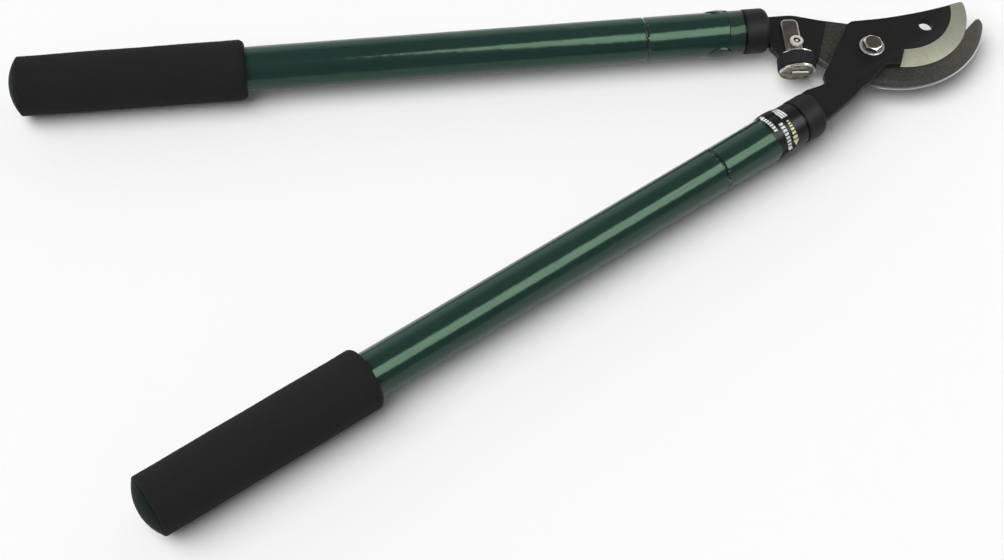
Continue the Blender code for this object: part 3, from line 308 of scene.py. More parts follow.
class Graph:
    """A node material under construction."""

    def __init__(self, name, gloss=0.5, metal=0.0):
        self.material = bpy.data.materials.new(name)
        self.material.use_nodes = True
        self.tree = self.material.node_tree
        self.shader = self.tree.nodes["Principled BSDF"]
        self.set("Specular IOR Level", gloss)
        self.set("Metallic", metal)
        self.where = self.node("TexCoord")

    def set(self, socket, value):
        """A value, or another node's output, on one of the shader's sockets."""
        self.put(self.shader.inputs[socket], value)

    def put(self, socket, value):
        if isinstance(value, bpy.types.NodeSocket):
            self.tree.links.new(value, socket)
        else:
            socket.default_value = value

    def node(self, kind, inputs=None, **settings):
        made = new_node(self.tree, "ShaderNode" + kind, **settings)
        for key, value in (inputs or {}).items():
            self.put(made.inputs[key], value)
        return made

    def part(self, vector, axis):
        return self.node("SeparateXYZ", {"Vector": vector}).outputs[axis]

    def height(self):
        """Height in the model's frame."""
        return self.part(self.where.outputs["Object"], "Z")

    def facing_up(self):
        """1 on faces that look up, 0 on upright ones and -1 on those that look down."""
        return self.part(self.where.outputs["Normal"], "Z")

    def place(self, turn_deg=0.0, centre=(0.0, 0.0)):
        """Coordinates in a frame turned about the pivot and moved to a centre."""
        back = (side_matrix(turn_deg) @ Matrix.Translation((*centre, 0))).inverted()
        mapping = self.node("Mapping", {"Vector": self.where.outputs["Object"]})
        mapping.inputs["Location"].default_value = back.to_translation()
        mapping.inputs["Rotation"].default_value = back.to_euler()
        return mapping.outputs["Vector"]

    def flat_place(self, turn_deg, centre):
        """X and Y in such a frame."""
        local = self.place(turn_deg, centre)
        return [self.part(local, axis) for axis in "XY"]

    def math(self, operation, first, second=0.0, third=0.0):
        made = self.node("Math", operation=operation)
        for socket, value in zip(made.inputs, (first, second, third)):
            self.put(socket, value)
        return made.outputs[0]

    def times(self, first, second):
        return self.math("MULTIPLY", first, second)

    def larger(self, first, second):
        return self.math("MAXIMUM", first, second)

    def unsigned(self, value):
        return self.math("ABSOLUTE", value)

    def apart(self, first, second):
        """How far two values are apart."""
        return self.unsigned(self.math("SUBTRACT", first, second))

    def length(self, x, y):
        """Length of the arrow with these two parts."""
        return self.math("SQRT", self.math("ADD", self.times(x, x), self.times(y, y)))

    def between(self, share, low, high):
        """A number from low to high as share goes from 0 to 1."""
        return self.math("MULTIPLY_ADD", share, high - low, low)

    def step(self, value, low, high):
        """0 below low, 1 above high, and smooth between them. Low above high turns it round."""
        made = self.node("MapRange", interpolation_type="SMOOTHSTEP")
        if low < high:
            bounds = (low, high, 0.0, 1.0)
        else:
            bounds = (high, low, 1.0, 0.0)
        for key, bound in zip(("From Min", "From Max", "To Min", "To Max"), bounds):
            made.inputs[key].default_value = bound
        self.put(made.inputs["Value"], value)
        return made.outputs[0]

    def past(self, value, edge, blur):
        """0 before an edge and 1 past it, turned round where the blur is negative."""
        return self.step(value, edge - blur, edge + blur)

    def blend(self, share, first, second, most=None):
        """The first colour, going over to the second, or to that much of it, where share is 1."""
        if most is not None:
            share = self.times(share, most)
        made = self.node("Mix", data_type="RGBA")
        self.put(made.inputs[0], share)
        for socket, value in zip(made.inputs[6:8], (first, second)):
            self.put(socket, value if isinstance(value, bpy.types.NodeSocket) else (*value, 1.0))
        return made.outputs[2]

    def noise(self, scale, detail=2.0, vector=None, rough=0.5):
        inputs = {"Scale": scale, "Detail": detail, "Roughness": rough}
        inputs["Vector"] = vector or self.where.outputs["Object"]
        return self.node("TexNoise", inputs).outputs["Fac"]

    def streaks(self, vector, scale, detail=3.0):
        """Noise drawn out along the axes with the smaller scales."""
        mapping = self.node("Mapping", {"Vector": vector, "Scale": scale})
        return self.noise(1.0, detail, mapping.outputs["Vector"])

    def cells(self, scale):
        inputs = {"Scale": scale, "Vector": self.where.outputs["Object"]}
        return self.node("TexVoronoi", inputs).outputs["Distance"]

    def vector_math(self, operation, first, second):
        made = self.node("VectorMath", operation=operation)
        self.put(made.inputs[0], first)
        self.put(made.inputs["Scale"] if operation == "SCALE" else made.inputs[1], second)
        return made.outputs["Value" if operation in ("DOT_PRODUCT", "LENGTH") else "Vector"]

    def beyond_line(self, turn_deg, point, normal):
        """How far a point is past a line in a blade's frame, along the line's normal."""
        normal = Vector(normal).normalized()
        past = self.vector_math("DOT_PRODUCT", self.place(turn_deg), (*normal, 0.0))
        return self.math("SUBTRACT", past, normal.dot(Vector(point)))

    def from_axis(self, point, direction):
        """Distance from an axis in the model's frame."""
        arm = self.vector_math("SUBTRACT", self.where.outputs["Object"], tuple(point))
        along = self.vector_math("DOT_PRODUCT", arm, tuple(direction))
        scaled = self.vector_math("SCALE", tuple(direction), along)
        across = self.vector_math("SUBTRACT", arm, scaled)
        return self.vector_math("LENGTH", across, (0.0, 0.0, 0.0))

    def bump(self, height, distance, strength=1.0, below=None):
        inputs = {"Height": height, "Distance": distance, "Strength": strength}
        if below:
            inputs["Normal"] = below
        made = self.node("Bump", inputs).outputs["Normal"]
        self.set("Normal", made)
        return made

    def polished(self, strength=0.5):
        """The slight unevenness of nickel plate."""
        self.bump(self.noise(700.0, 3.0), 0.00001, strength)


def paint(side):
    """Glossy green paint over a thin orange peel, duller past the scored line.

    It is chipped here and there, and rubbed at the rolled groove.
    """
    graph = Graph(f"{side.name}_green_paint")
    graph.set("Specular Tint", (0.60, 1.0, 0.66, 1.0))
    local = graph.place(side.turn)
    station = graph.part(local, "X")
    dull = graph.past(station, SCORE_X, 0.0002)
    streaks = graph.between(graph.streaks(local, (45.0, 800.0, 800.0)), 0.75, 1.25)
    graph.set("Specular IOR Level", graph.times(graph.between(dull, 0.42, 0.27), streaks))

    from_roll = graph.apart(station, ROLL_X)
    from_score = graph.apart(station, SCORE_X)
    shade = graph.larger(graph.step(from_roll, *ROLL_SHADE), graph.step(from_score, *SCORE_SHADE))
    rub = graph.step(graph.noise(420.0, 4.0), 0.60, 0.68)
    wear = graph.times(rub, graph.step(from_roll, *ROLL_RUB))
    chip = graph.step(graph.cells(16.0), 0.016, 0.011)
    bare = graph.larger(graph.times(wear, 0.5), chip)
    colour = graph.blend(graph.noise(18.0, 3.0), *PAINT_GREEN)
    colour = graph.blend(dull, colour, PAINT_DULL, 0.5)
    colour = graph.blend(shade, colour, PAINT_GROOVE, 0.6)
    graph.set("Base Color", graph.blend(bare, colour, PAINT_BARE))
    graph.set("Roughness", graph.between(graph.noise(60.0, 4.0), 0.09, 0.20))
    fine = graph.bump(graph.noise(900.0), 0.000012, 0.5)
    peel = graph.bump(graph.noise(170.0), 0.0002, 0.6, fine)
    graph.bump(bare, -0.00005, 1.0, peel)
    return graph.material


def foam():
    """Closed-cell foam: fine open cells in a matte skin, with a dusty bloom."""
    graph = Graph("grip_foam", gloss=0.15)
    cells = graph.cells(1400.0)
    pits = graph.step(cells, 0.25, 0.65)
    colour = graph.blend(graph.noise(35.0, 4.0), *FOAM_BLACK)
    graph.set("Base Color", graph.blend(pits, colour, FOAM_PIT, 0.5))
    graph.set("Roughness", graph.between(cells, 0.80, 1.0))
    fine = graph.bump(cells, 0.00012, 0.7)
    graph.bump(graph.noise(420.0, 3.0), 0.0002, 0.35, fine)
    return graph.material


def black_plastic():
    """Moulded black plastic with a fine spark-eroded grain and a few scuffs."""
    graph = Graph("black_plastic", gloss=0.13)
    grain = graph.noise(2600.0)
    scuff = graph.step(graph.noise(160.0, 5.0), 0.60, 0.75)
    colour = graph.blend(graph.noise(40.0), *PLASTIC_BLACK)
    graph.set("Base Color", graph.blend(scuff, colour, PLASTIC_SCUFF, 0.3))
    graph.set("Roughness", graph.between(grain, 0.44, 0.62))
    graph.bump(grain, 0.00002, 0.6)
    return graph.material


def glossy_bush(side):
    """Smooth glossy plastic of a bush, whose lugs show in the tube, with a dull black flange."""
    graph = Graph(f"{side.name}_bush_plastic")
    flange = graph.past(graph.part(graph.place(side.turn), "X"), FLANGE_X, 0.0001)
    graph.set("Specular IOR Level", graph.between(flange, 0.34, 0.08))
    graph.set("Specular Tint", (0.86, 1.0, 0.74, 1.0))
    cloud = graph.noise(150.0, 3.0)
    graph.set("Base Color", graph.blend(flange, graph.blend(cloud, *LUG_BLACK), FLANGE_BLACK))
    graph.set("Roughness", graph.between(cloud, 0.18, 0.30))
    graph.bump(graph.noise(1500.0), 0.000008, 0.5)
    return graph.material


def green_plastic():
    """Moulded green plastic of the end plugs."""
    graph = Graph("green_plastic", gloss=0.05)
    grain = graph.noise(1800.0)
    graph.set("Base Color", graph.blend(graph.noise(60.0, 3.0), *PLUG_GREEN))
    graph.set("Roughness", graph.between(grain, 0.50, 0.66))
    graph.bump(grain, 0.00002, 0.6)
    return graph.material


def worn_edges(graph):
    """1 on the narrow broken edges of a plate, which face up at a slant."""
    up = graph.facing_up()
    return graph.times(graph.step(up, 0.25, 0.45), graph.step(up, 0.93, 0.80))


def side_wall(graph):
    """1 on the sides of a plate that lies flat."""
    return graph.step(graph.unsigned(graph.facing_up()), 0.5, 0.3)


def coating(graph, grain):
    """Black low-friction coating, rubbed through on broken edges. Gives colour and bare share."""
    rub = graph.step(graph.noise(260.0, 3.0), 0.35, 0.60)
    rubbed = graph.times(worn_edges(graph), rub)
    scuff = graph.step(graph.streaks(graph.place(25.0), (60.0, 900.0, 60.0)), 0.66, 0.80)
    bare = graph.larger(graph.times(rubbed, 0.07), graph.times(scuff, 0.04))
    skin = graph.blend(graph.noise(90.0, 4.0), *COATING_BLACK)
    skin = graph.blend(grain, skin, COATING_DUST, 0.25)
    return graph.blend(bare, skin, COATING_BARE), bare


def cutting_blade():
    """Black low-friction coating, its edges rubbed bright, with the wide bevel ground bare."""
    graph = Graph("coated_blade", gloss=0.20)
    x, y = graph.flat_place(HALF_ANGLE_DEG, EDGE_CENTRE)
    radius = graph.length(x, y)
    angle = graph.math("ARCTAN2", y, x)
    slope = math.radians(HEEL_SLOPE_DEG)
    heel_normal = (math.sin(slope), -math.cos(slope))
    past_heel = graph.beyond_line(HALF_ANGLE_DEG, HEEL_POINT, heel_normal)
    past_arc = graph.past(radius, BEVEL_RADIUS, 0.00004)
    ground = graph.times(past_arc, graph.past(past_heel, 0.0, 0.00005))
    ground = graph.times(ground, graph.step(graph.facing_up(), 0.5, 0.8))

    grain = graph.noise(1500.0, 3.0)
    skin, bare_edge = coating(graph, grain)
    # Upright sides get the lighter coating, painted light that lifts their shade
    skin = graph.blend(side_wall(graph), skin, COATING_WALL_PAINTED_LIGHT)
    polar = {"X": graph.times(angle, 260.0), "Y": graph.times(radius, 60.0)}
    lines = graph.node("CombineXYZ", polar).outputs[0]
    strokes = graph.noise(1.0, 4.0, lines, 0.7)
    bands = graph.streaks(lines, (0.035, 0.2, 1.0), 2.0)
    patch = graph.step(graph.noise(115.0, 3.0), 0.48, 0.66)
    steel = graph.blend(bands, *BEVEL_STEEL)
    steel = graph.blend(graph.step(strokes, 0.40, 0.72), steel, BEVEL_STROKE, 0.5)
    steel = graph.blend(patch, steel, BEVEL_PATCH, 0.45)
    graph.set("Base Color", graph.blend(ground, skin, steel))
    graph.set("Metallic", graph.larger(graph.times(ground, 0.55), bare_edge))
    skin_rough = graph.between(grain, 0.42, 0.58)
    steel_rough = graph.between(strokes, 0.46, 0.60)
    extra = graph.times(ground, graph.math("SUBTRACT", steel_rough, skin_rough))
    graph.set("Roughness", graph.math("ADD", skin_rough, extra))
    coat = graph.bump(grain, 0.00002, 0.6)
    graph.bump(graph.times(strokes, ground), 0.00001, 0.7, coat)
    return graph.material


def hook_steel():
    """Bare steel, tinted brown and scratched, its rim a painted highlight, its tang coated past a
    line.
    """
    graph = Graph("hook_steel", gloss=0.22)
    near, far = (Vector(point) for point in COATING_END)
    along = (far - near).normalized()
    past_end = graph.beyond_line(-HALF_ANGLE_DEG, near, (along.y, -along.x))
    ragged = graph.between(graph.noise(600.0, 3.0), -0.0003, 0.0003)
    coated = graph.past(graph.math("ADD", past_end, ragged), 0.0, 0.0002)

    station = graph.part(graph.place(-HALF_ANGLE_DEG), "X")
    to_tip = graph.step(station, *PALE_TIP)
    rolled = graph.noise(1300.0, 4.0, rough=0.65)
    cloud = graph.noise(55.0, 4.0)
    steel = graph.blend(to_tip, graph.blend(cloud, *HOOK_DARK), graph.blend(cloud, *HOOK_PALE))

    jaw_radius = graph.length(*graph.flat_place(-HALF_ANGLE_DEG, JAW_CENTRE))
    near_jaw = graph.step(jaw_radius, *(JAW_RADIUS + reach for reach in JAW_TINT))
    up = graph.facing_up()
    brown = graph.step(graph.noise(70.0, 3.0), 0.46, 0.68)
    brown = graph.times(brown, graph.between(near_jaw, 0.15, 0.95))
    brown = graph.times(brown, graph.between(graph.step(up, -0.5, 0.5), 0.35, 1.0))
    steel = graph.blend(brown, steel, HOOK_BROWN)
    steel = graph.blend(graph.step(rolled, 0.48, 0.62), steel, HOOK_SPECK, 0.50)
    scratched = graph.streaks(graph.place(-HALF_ANGLE_DEG + 12.0), (420.0, 3400.0, 1.0))
    scratch = graph.times(graph.step(scratched, 0.58, 0.72), graph.between(to_tip, 0.52, 0.12))
    steel = graph.blend(scratch, steel, HOOK_SCRATCH)
    # Painted shade on faces that slope off the flat
    steel = graph.blend(graph.step(graph.unsigned(up), 0.998, 0.985), steel, HOOK_SLOPE_SHADE, 0.30)

    surface = graph.blend(coated, steel, coating(graph, rolled)[0])
    # Painted highlight along the outer edge, dim at the heel and bright towards the tip
    radius = graph.length(*graph.flat_place(-HALF_ANGLE_DEG, HOOK_CENTRE))
    rim = graph.step(radius, *(HOOK_RADIUS + inset for inset in HOOK_HIGHLIGHT_INSET))
    rim = graph.times(rim, graph.math("SUBTRACT", 1.0, coated))
    surface = graph.blend(rim, surface, graph.blend(to_tip, *HOOK_RIM_HIGHLIGHT))
    # Coated sides, and those towards the tang, get the lighter coating: painted light that lifts
    # their shade
    tang = graph.times(graph.step(station, *TANG_WALL), 0.85)
    wall = graph.blend(rolled, *HOOK_WALL)
    wall = graph.blend(graph.larger(coated, tang), wall, COATING_WALL_PAINTED_LIGHT)
    graph.set("Base Color", graph.blend(side_wall(graph), surface, wall))
    graph.set("Metallic", graph.between(coated, 0.5, 0.05))
    graph.set("Roughness", graph.between(rolled, 0.40, 0.58))
    graph.bump(rolled, 0.000015, 0.8)
    return graph.material


def cup_nickel():
    """Nickel plate with cloudy stains and fine handling scratches."""
    graph = Graph("bumper_nickel", metal=1.0)
    cloud = graph.step(graph.noise(230.0, 4.0), 0.42, 0.68)
    graph.set("Base Color", graph.blend(cloud, *CUP_NICKEL, 0.35))
    scratched = graph.streaks(graph.place(20.0), (500.0, 5000.0, 900.0), 2.0)
    scratch = graph.step(scratched, 0.64, 0.72)
    rough = graph.between(cloud, 0.12, 0.24)
    graph.set("Roughness", graph.math("MULTIPLY_ADD", scratch, 0.12, rough))
    graph.polished()
    return graph.material


def bolt_nickel():
    """Nickel plate, bright on the head's chamfer, dull and brown on top, with painted shade on the
    sides.
    """
    graph = Graph("bolt_nickel")
    up = graph.facing_up()
    top = graph.step(up, 0.96, 0.995)
    # Painted shade on the upright sides
    side = graph.step(graph.unsigned(up), 0.25, 0.10)
    forged = graph.noise(500.0, 4.0)
    metal = graph.blend(side, BOLT_BRIGHT, graph.blend(forged, *BOLT_SIDE_SHADE))
    graph.set("Base Color", graph.blend(top, metal, graph.blend(forged, *BOLT_TOP)))
    graph.set("Metallic", graph.between(top, 0.85, 0.5))
    graph.set("Roughness", graph.between(top, 0.16, 0.46))
    graph.bump(graph.times(forged, top), 0.00005, 0.6)
    return graph.material


def strip_place(graph):
    """Place across and along the bumper's strip, and how far outside its rounded outline."""
    axes = graph.flat_place(STRIP_TURN_DEG, STRIP_CENTRE)
    corner = []
    for place, half in zip(axes, STRIP_HALF):
        past = graph.math("SUBTRACT", graph.unsigned(place), half - STRIP_ROUND)
        corner.append(graph.larger(past, 0.0))
    return (*axes, graph.math("SUBTRACT", graph.length(*corner), STRIP_ROUND))


def strip_nickel():
    """Tarnished plate, brown on its flats and bright where rubbed, with a painted highlight along
    its lit rim.
    """
    graph = Graph("strip_nickel")
    across, along, outside = strip_place(graph)
    # Painted highlight along the rim, strongest on its lit side
    lit = graph.step(graph.math("MULTIPLY_ADD", along, 0.5, across), *STRIP_LIT)
    rim = graph.times(graph.step(outside, *STRIP_HIGHLIGHT_INSET), graph.between(lit, 0.12, 0.85))
    rub = graph.step(graph.noise(800.0, 3.0), 0.52, 0.62)
    worn = graph.times(rub, graph.step(along, *STRIP_WORN))
    bright = graph.larger(rim, graph.times(worn, 0.6))
    cloud = graph.noise(180.0, 4.0)
    graph.set("Base Color", graph.blend(bright, graph.blend(cloud, *STRIP_BROWN), STRIP_RUB_AND_HIGHLIGHT))
    graph.set("Metallic", graph.between(bright, 0.6, 0.1))
    graph.set("Roughness", graph.between(cloud, 0.26, 0.42))
    graph.polished(0.6)
    return graph.material


def ringed_plate(name, axis, radii, metal, ring_colours, plates=BUMPER_NICKEL, darker_below=None):
    """Bright nickel with a darker ring between two radii about an axis.

    It is darker below a height too, if one is given.
    """
    graph = Graph(name)
    inner, outer = radii
    radius = graph.from_axis(*axis)
    ring = graph.times(graph.past(radius, inner, 0.0001), graph.past(radius, outer, -0.0001))
    if darker_below is not None:
        ring = graph.larger(ring, graph.past(graph.height(), darker_below, -0.0015))
    cloud = graph.noise(260.0, 4.0)
    plate = graph.blend(graph.step(cloud, 0.45, 0.70), *plates)
    ring_colour = graph.blend(graph.step(cloud, 0.35, 0.65), *ring_colours)
    graph.set("Base Color", graph.blend(ring, plate, ring_colour))
    graph.set("Metallic", graph.between(ring, metal, 0.6))
    rough = graph.between(cloud, 0.14, 0.26)
    graph.set("Roughness", graph.math("MULTIPLY_ADD", ring, 0.2, rough))
    graph.polished()
    return graph.material


def key_nickel():
    """Nickel of the bumper's key: a painted highlight on its face's upper part, painted shade
    below.
    """
    graph = Graph("key_nickel", metal=0.5)
    low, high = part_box("bumper_stud")
    split = low[2] + KEY_HIGHLIGHT_SPLIT * (high[2] - low[2])
    # Painted highlight above the split, painted shade below it
    bright = graph.past(graph.height(), split, 0.0001)
    cloud = graph.noise(420.0, 4.0)
    graph.set("Base Color", graph.blend(bright, graph.blend(cloud, *KEY_FACE_SHADE), KEY_FACE_HIGHLIGHT))
    graph.set("Roughness", graph.between(cloud, 0.16, 0.36))
    graph.polished()
    return graph.material


def plated_steel():
    """Zinc-plated steel, drawn lengthwise."""
    graph = Graph("zinc_plate", metal=1.0)
    drawn = graph.streaks(graph.where.outputs["Object"], (90.0, 2400.0, 2400.0))
    graph.set("Base Color", graph.blend(graph.noise(140.0, 3.0), *ZINC))
    graph.set("Roughness", graph.between(drawn, 0.22, 0.40))
    graph.bump(drawn, 0.000008, 0.6)
    return graph.material


def rubber():
    """Moulded black rubber with a dusty bloom."""
    graph = Graph("bumper_rubber", gloss=0.15)
    grain = graph.noise(1700.0, 3.0)
    graph.set("Base Color", graph.blend(graph.noise(120.0, 4.0), *RUBBER_BLACK))
    graph.set("Roughness", graph.between(grain, 0.62, 0.85))
    graph.bump(grain, 0.00003, 0.6)
    return graph.material


def acetal():
    """White acetal of the lock's plug and collet."""
    graph = Graph("white_acetal")
    cloud = graph.noise(200.0, 3.0)
    graph.set("Base Color", graph.blend(cloud, *ACETAL_WHITE))
    graph.set("Roughness", graph.between(cloud, 0.36, 0.48))
    graph.bump(graph.noise(1500.0), 0.00001, 0.5)
    return graph.material


def film_marks(graph):
    """Shares of white and yellow print: bars and ticks, and growing dashes with an arrow head."""
    where = graph.where.outputs["UV"]
    angle = graph.math("MULTIPLY_ADD", graph.part(where, "X"), 360.0, -90.0)
    length, low = 1000 * FILM_UV_LENGTH, 1000 * FILM_UV_LOW
    station = graph.math("MULTIPLY_ADD", graph.part(where, "Y"), length, low)

    def near(value, middle, half, blur):
        """1 where a value is closer than half to the middle. Half may be a node's output."""
        inside = graph.math("SUBTRACT", half, graph.apart(value, middle))
        return graph.math("MULTIPLY_ADD", inside, 1.0 / blur, 0.5)

    def mark(turn, half_turn, place, half_length):
        across = near(angle, turn, half_turn, MARK_BLUR_DEG)
        along = near(station, place, half_length, MARK_BLUR_MM)
        both = graph.math("MINIMUM", across, along)
        return graph.node("Clamp", {"Value": both}).outputs[0]

    def union(shapes):
        total = shapes[0]
        for shape in shapes[1:]:
            total = graph.larger(total, shape)
        return total

    turn, half_turn, place, half_length = FILM_BARS
    white = []
    for i in range(FILM_BAR_COUNT):
        white.append(mark(turn, half_turn, place + FILM_BAR_STEP * i, half_length))
    for turn, half_turn, place, half_length, step in FILM_TICKS:
        for i in range(FILM_TICK_COUNT):
            white.append(mark(turn + step * i, half_turn, place, half_length))
    yellow = []
    for turn, half_turn, half_length in FILM_DASHES:
        yellow.append(mark(turn, half_turn, FILM_DASH_STATION, half_length))
    to_tip = graph.math("SUBTRACT", ARROW_MIDDLE + ARROW_HALF, angle)
    taper = graph.times(to_tip, ARROW_HALF_WIDTH / (2 * ARROW_HALF))
    yellow.append(mark(ARROW_MIDDLE, ARROW_HALF, ARROW_STATION, taper))
    return union(white), union(yellow)


def film_material():
    """Black shrunk film with white and yellow print, rubbed in places."""
    graph = Graph("printed_film", gloss=0.2)
    white, yellow = film_marks(graph)
    dust = graph.noise(300.0, 4.0)
    film = graph.blend(dust, *FILM_BLACK)
    rubbed = graph.between(graph.step(graph.noise(900.0, 3.0), 0.35, 0.5), 0.55, 1.0)
    film = graph.blend(graph.times(white, rubbed), film, FILM_WHITE)
    graph.set("Base Color", graph.blend(graph.times(yellow, rubbed), film, FILM_YELLOW))
    graph.set("Roughness", graph.between(dust, 0.26, 0.42))
    graph.bump(graph.noise(900.0), 0.000015, 0.4)
    return graph.material


def added(name, data):
    """A new object in the scene."""
    made = bpy.data.objects.new(name, data)
    bpy.context.scene.collection.objects.link(made)
    return made


def add_mesh(name, verts, faces, material):
    """A smooth-shaded piece in the model's frame."""
    mesh = bpy.data.meshes.new(name)
    mesh.from_pydata([tuple(vert) for vert in verts], [], faces)
    mesh.update()
    mesh.materials.append(material)
    mesh.shade_smooth()
    return added(name, mesh)


def ring_point(matrix, station, radius, angle):
    """A point round a handle's axis, in the model's frame."""
    return matrix @ Vector((station, radius * math.cos(angle), radius * math.sin(angle)))


def lathe(name, rings, segments, matrix, material):
    """A closed ring-shaped piece from (radius, station) functions of the angle, one a ring."""
    verts = []
    for ring in rings:
        for i in range(segments):
            angle = math.tau * i / segments
            radius, station = ring(angle)
            verts.append(ring_point(matrix, station, radius, angle))
    faces = []
    count = len(rings)
    for r in range(count):
        for i in range(segments):
            after = (i + 1) % segments
            low, high = r * segments, (r + 1) % count * segments
            faces.append((low + i, low + after, high + after, high + i))
    return add_mesh(name, verts, faces, material)


def turned(name, profile, segments, matrix, material):
    """A closed round piece from its profile of (radius, station) points."""
    rings = [lambda angle, point=point: point for point in profile]
    return lathe(name, rings, segments, matrix, material)


def foam_grip(side, material):
    """Foam sleeve over the CAD sleeve's space, with rounded ends, an uneven skin and a grain."""
    node = f"{side.name}_foam_grip"
    points = local_points(node, side)
    low_x = min(point.x for point in points) - FOAM_OVERLAP
    high_x = max(point.x for point in points)
    length = high_x - low_x
    outer = [off_axis(point) for point in points]
    bore = min(outer)
    head = max(outer)
    free_x = low_x + FOAM_FREE_PART * length
    free = max(r for r, point in zip(outer, points) if point.x < free_x)

    def skin(share):
        """Radius of the skin at a share of the length, with both ends rounded."""
        full = free + (head - free) * share
        ends = ((share * length, FOAM_FREE_ROUND), ((1 - share) * length, FOAM_HEAD_ROUND))
        for reach, bend in ends:
            if reach < bend:
                full -= bend - math.sqrt(max(0.0, bend**2 - (bend - reach) ** 2))
        return full

    def outer_ring(share):
        station = low_x + share * length

        def ring(angle):
            y, z = math.cos(angle), math.sin(angle)
            place = (station * FOAM_SWELL_ALONG, y * FOAM_SWELL_ROUND, z * FOAM_SWELL_ROUND)
            swell = FOAM_SWELL * noise.noise(Vector(place) + Vector((side.turn, 0, 0)))
            spot = Vector((station, FOAM_GRAIN_RADIUS * y, FOAM_GRAIN_RADIUS * z))
            grain = FOAM_GRAIN * noise.noise(spot * FOAM_GRAIN_SCALE)
            return skin(share) - FOAM_SWELL + swell + grain, station

        return ring

    def bore_ring(station):
        return lambda angle: (bore + FOAM_BORE_GAP, station)

    shares = [0.5 - 0.5 * math.cos(math.pi * i / FOAM_RINGS) for i in range(FOAM_RINGS + 1)]
    rings = [outer_ring(share) for share in shares]
    rings.append(bore_ring(high_x))
    rings.append(bore_ring(low_x))
    matrix = side_matrix(side.turn, side.offset)
    grip = lathe(f"{side.name}_grip_foam", rings, FOAM_SEGMENTS, matrix, material)
    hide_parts(node)
    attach(grip, side.body)


def end_plug(side, material):
    """Plug in the tube's end: a broad shallow dome closes the foam's end, on a hollow spigot."""
    node = f"{side.name}_end_plug"
    seat = min(point.x for point in local_points(f"{side.name}_foam_grip", side))
    points = local_points(node, side)
    spigot = max(off_axis(point) for point in points if point.x > seat + PLUG_SPIGOT_PAST)
    deep = max(point.x for point in points)
    end = seat - FOAM_OVERLAP
    rim = end - PLUG_RIM
    step = seat - PLUG_STEP_GAP
    bore = spigot - PLUG_WALL
    sphere = (PLUG_RADIUS**2 + PLUG_DOME**2) / (2 * PLUG_DOME)
    half = math.asin(PLUG_RADIUS / sphere)
    profile = []
    for i in range(PLUG_RINGS + 1):
        slope = max(PLUG_EYE / sphere, half * i / PLUG_RINGS)
        height = rim - PLUG_DOME + sphere * (1 - math.cos(slope))
        profile.append((sphere * math.sin(slope), height))
    profile += [(PLUG_RADIUS + PLUG_LIP[0], rim + PLUG_LIP[1]), (PLUG_RADIUS, end)]
    profile += [(PLUG_STEP, end), (PLUG_STEP, step), (spigot, step), (spigot, deep)]
    profile += [(bore, deep), (bore, seat), (PLUG_EYE, seat)]
    matrix = side_matrix(side.turn, side.offset)
    plug = turned(f"{side.name}_plug_dome", profile, PLUG_SEGMENTS, matrix, material)
    plug.data.set_sharp_from_angle(angle=math.radians(PLUG_SHARP_DEG))
    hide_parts(node)
    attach(plug, side.body)


def printed_film():
    """Film shrunk over the lower tube's head end and the bush's lugs, its tail cut to a tongue."""
    side = LOWER
    bush = local_points("lower_guide_bush", side)
    lugs = [point for point in bush if off_axis(point) > LUG_LEAST_RADIUS]
    lug_x = (min(point.x for point in lugs) + max(point.x for point in lugs)) / 2
    lug_top = max(off_axis(point) for point in lugs)
    turns = [math.atan2(point.z, point.y) for point in lugs if point.y > 0]
    lug_angle = (min(turns) + max(turns)) / 2
    tube = max(off_axis(point) for point in local_points("lower_outer_tube", side))
    lug_reach = (max(turns) - min(turns)) / 2 * tube + LUG_MARGIN

    def radius_at(station, angle):
        """Radius of the film, which is lifted over the lugs and falls to the tube round them."""
        turn = angle - lug_angle
        turn = min(abs(math.remainder(turn - half, math.tau)) for half in (0.0, math.pi))
        along = station - lug_x
        away = math.hypot(along, tube * turn)
        rise = max(0.0, 1 - (along / lug_reach) ** 2)
        skirt = max(0.0, 1 - max(0.0, away - lug_reach) / FILM_SKIRT)
        lift = rise * skirt**2 * (3 - 2 * skirt)
        return tube + FILM_GAP + lift * (lug_top - tube + FILM_GAP)

    def tail_at(angle):
        """Station of the film's tail edge."""
        from_tongue = abs(math.remainder(angle - math.radians(FILM_TONGUE_DEG), math.tau))
        bend = FILM_TONGUE_BEND * from_tongue
        return FILM_TAIL_X - (FILM_TONGUE * math.cos(bend) if bend < math.pi / 2 else 0.0)

    matrix = side_matrix(side.turn, side.offset)
    verts = []
    uvs = []
    for r in range(FILM_RINGS + 1):
        for i in range(FILM_SEGMENTS + 1):
            angle = math.tau * (i / FILM_SEGMENTS - 0.25)
            tail = tail_at(angle)
            station = tail + (FILM_HEAD_X - tail) * r / FILM_RINGS
            radius = radius_at(station, angle)
            if r in (0, FILM_RINGS):
                radius -= FILM_END_DIP
            verts.append(ring_point(matrix, station, radius, angle))
            uvs.append((i / FILM_SEGMENTS, (station - FILM_UV_LOW) / FILM_UV_LENGTH))
    width = FILM_SEGMENTS + 1
    faces = []
    for r in range(FILM_RINGS):
        for i in range(FILM_SEGMENTS):
            low = r * width + i
            faces.append((low, low + 1, low + width + 1, low + width))
    film = add_mesh("printed_sleeve", verts, faces, film_material())
    layer = film.data.uv_layers.new(name="film")
    for loop in film.data.loops:
        layer.data[loop.index].uv = uvs[loop.vertex_index]
    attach(film, side.body)


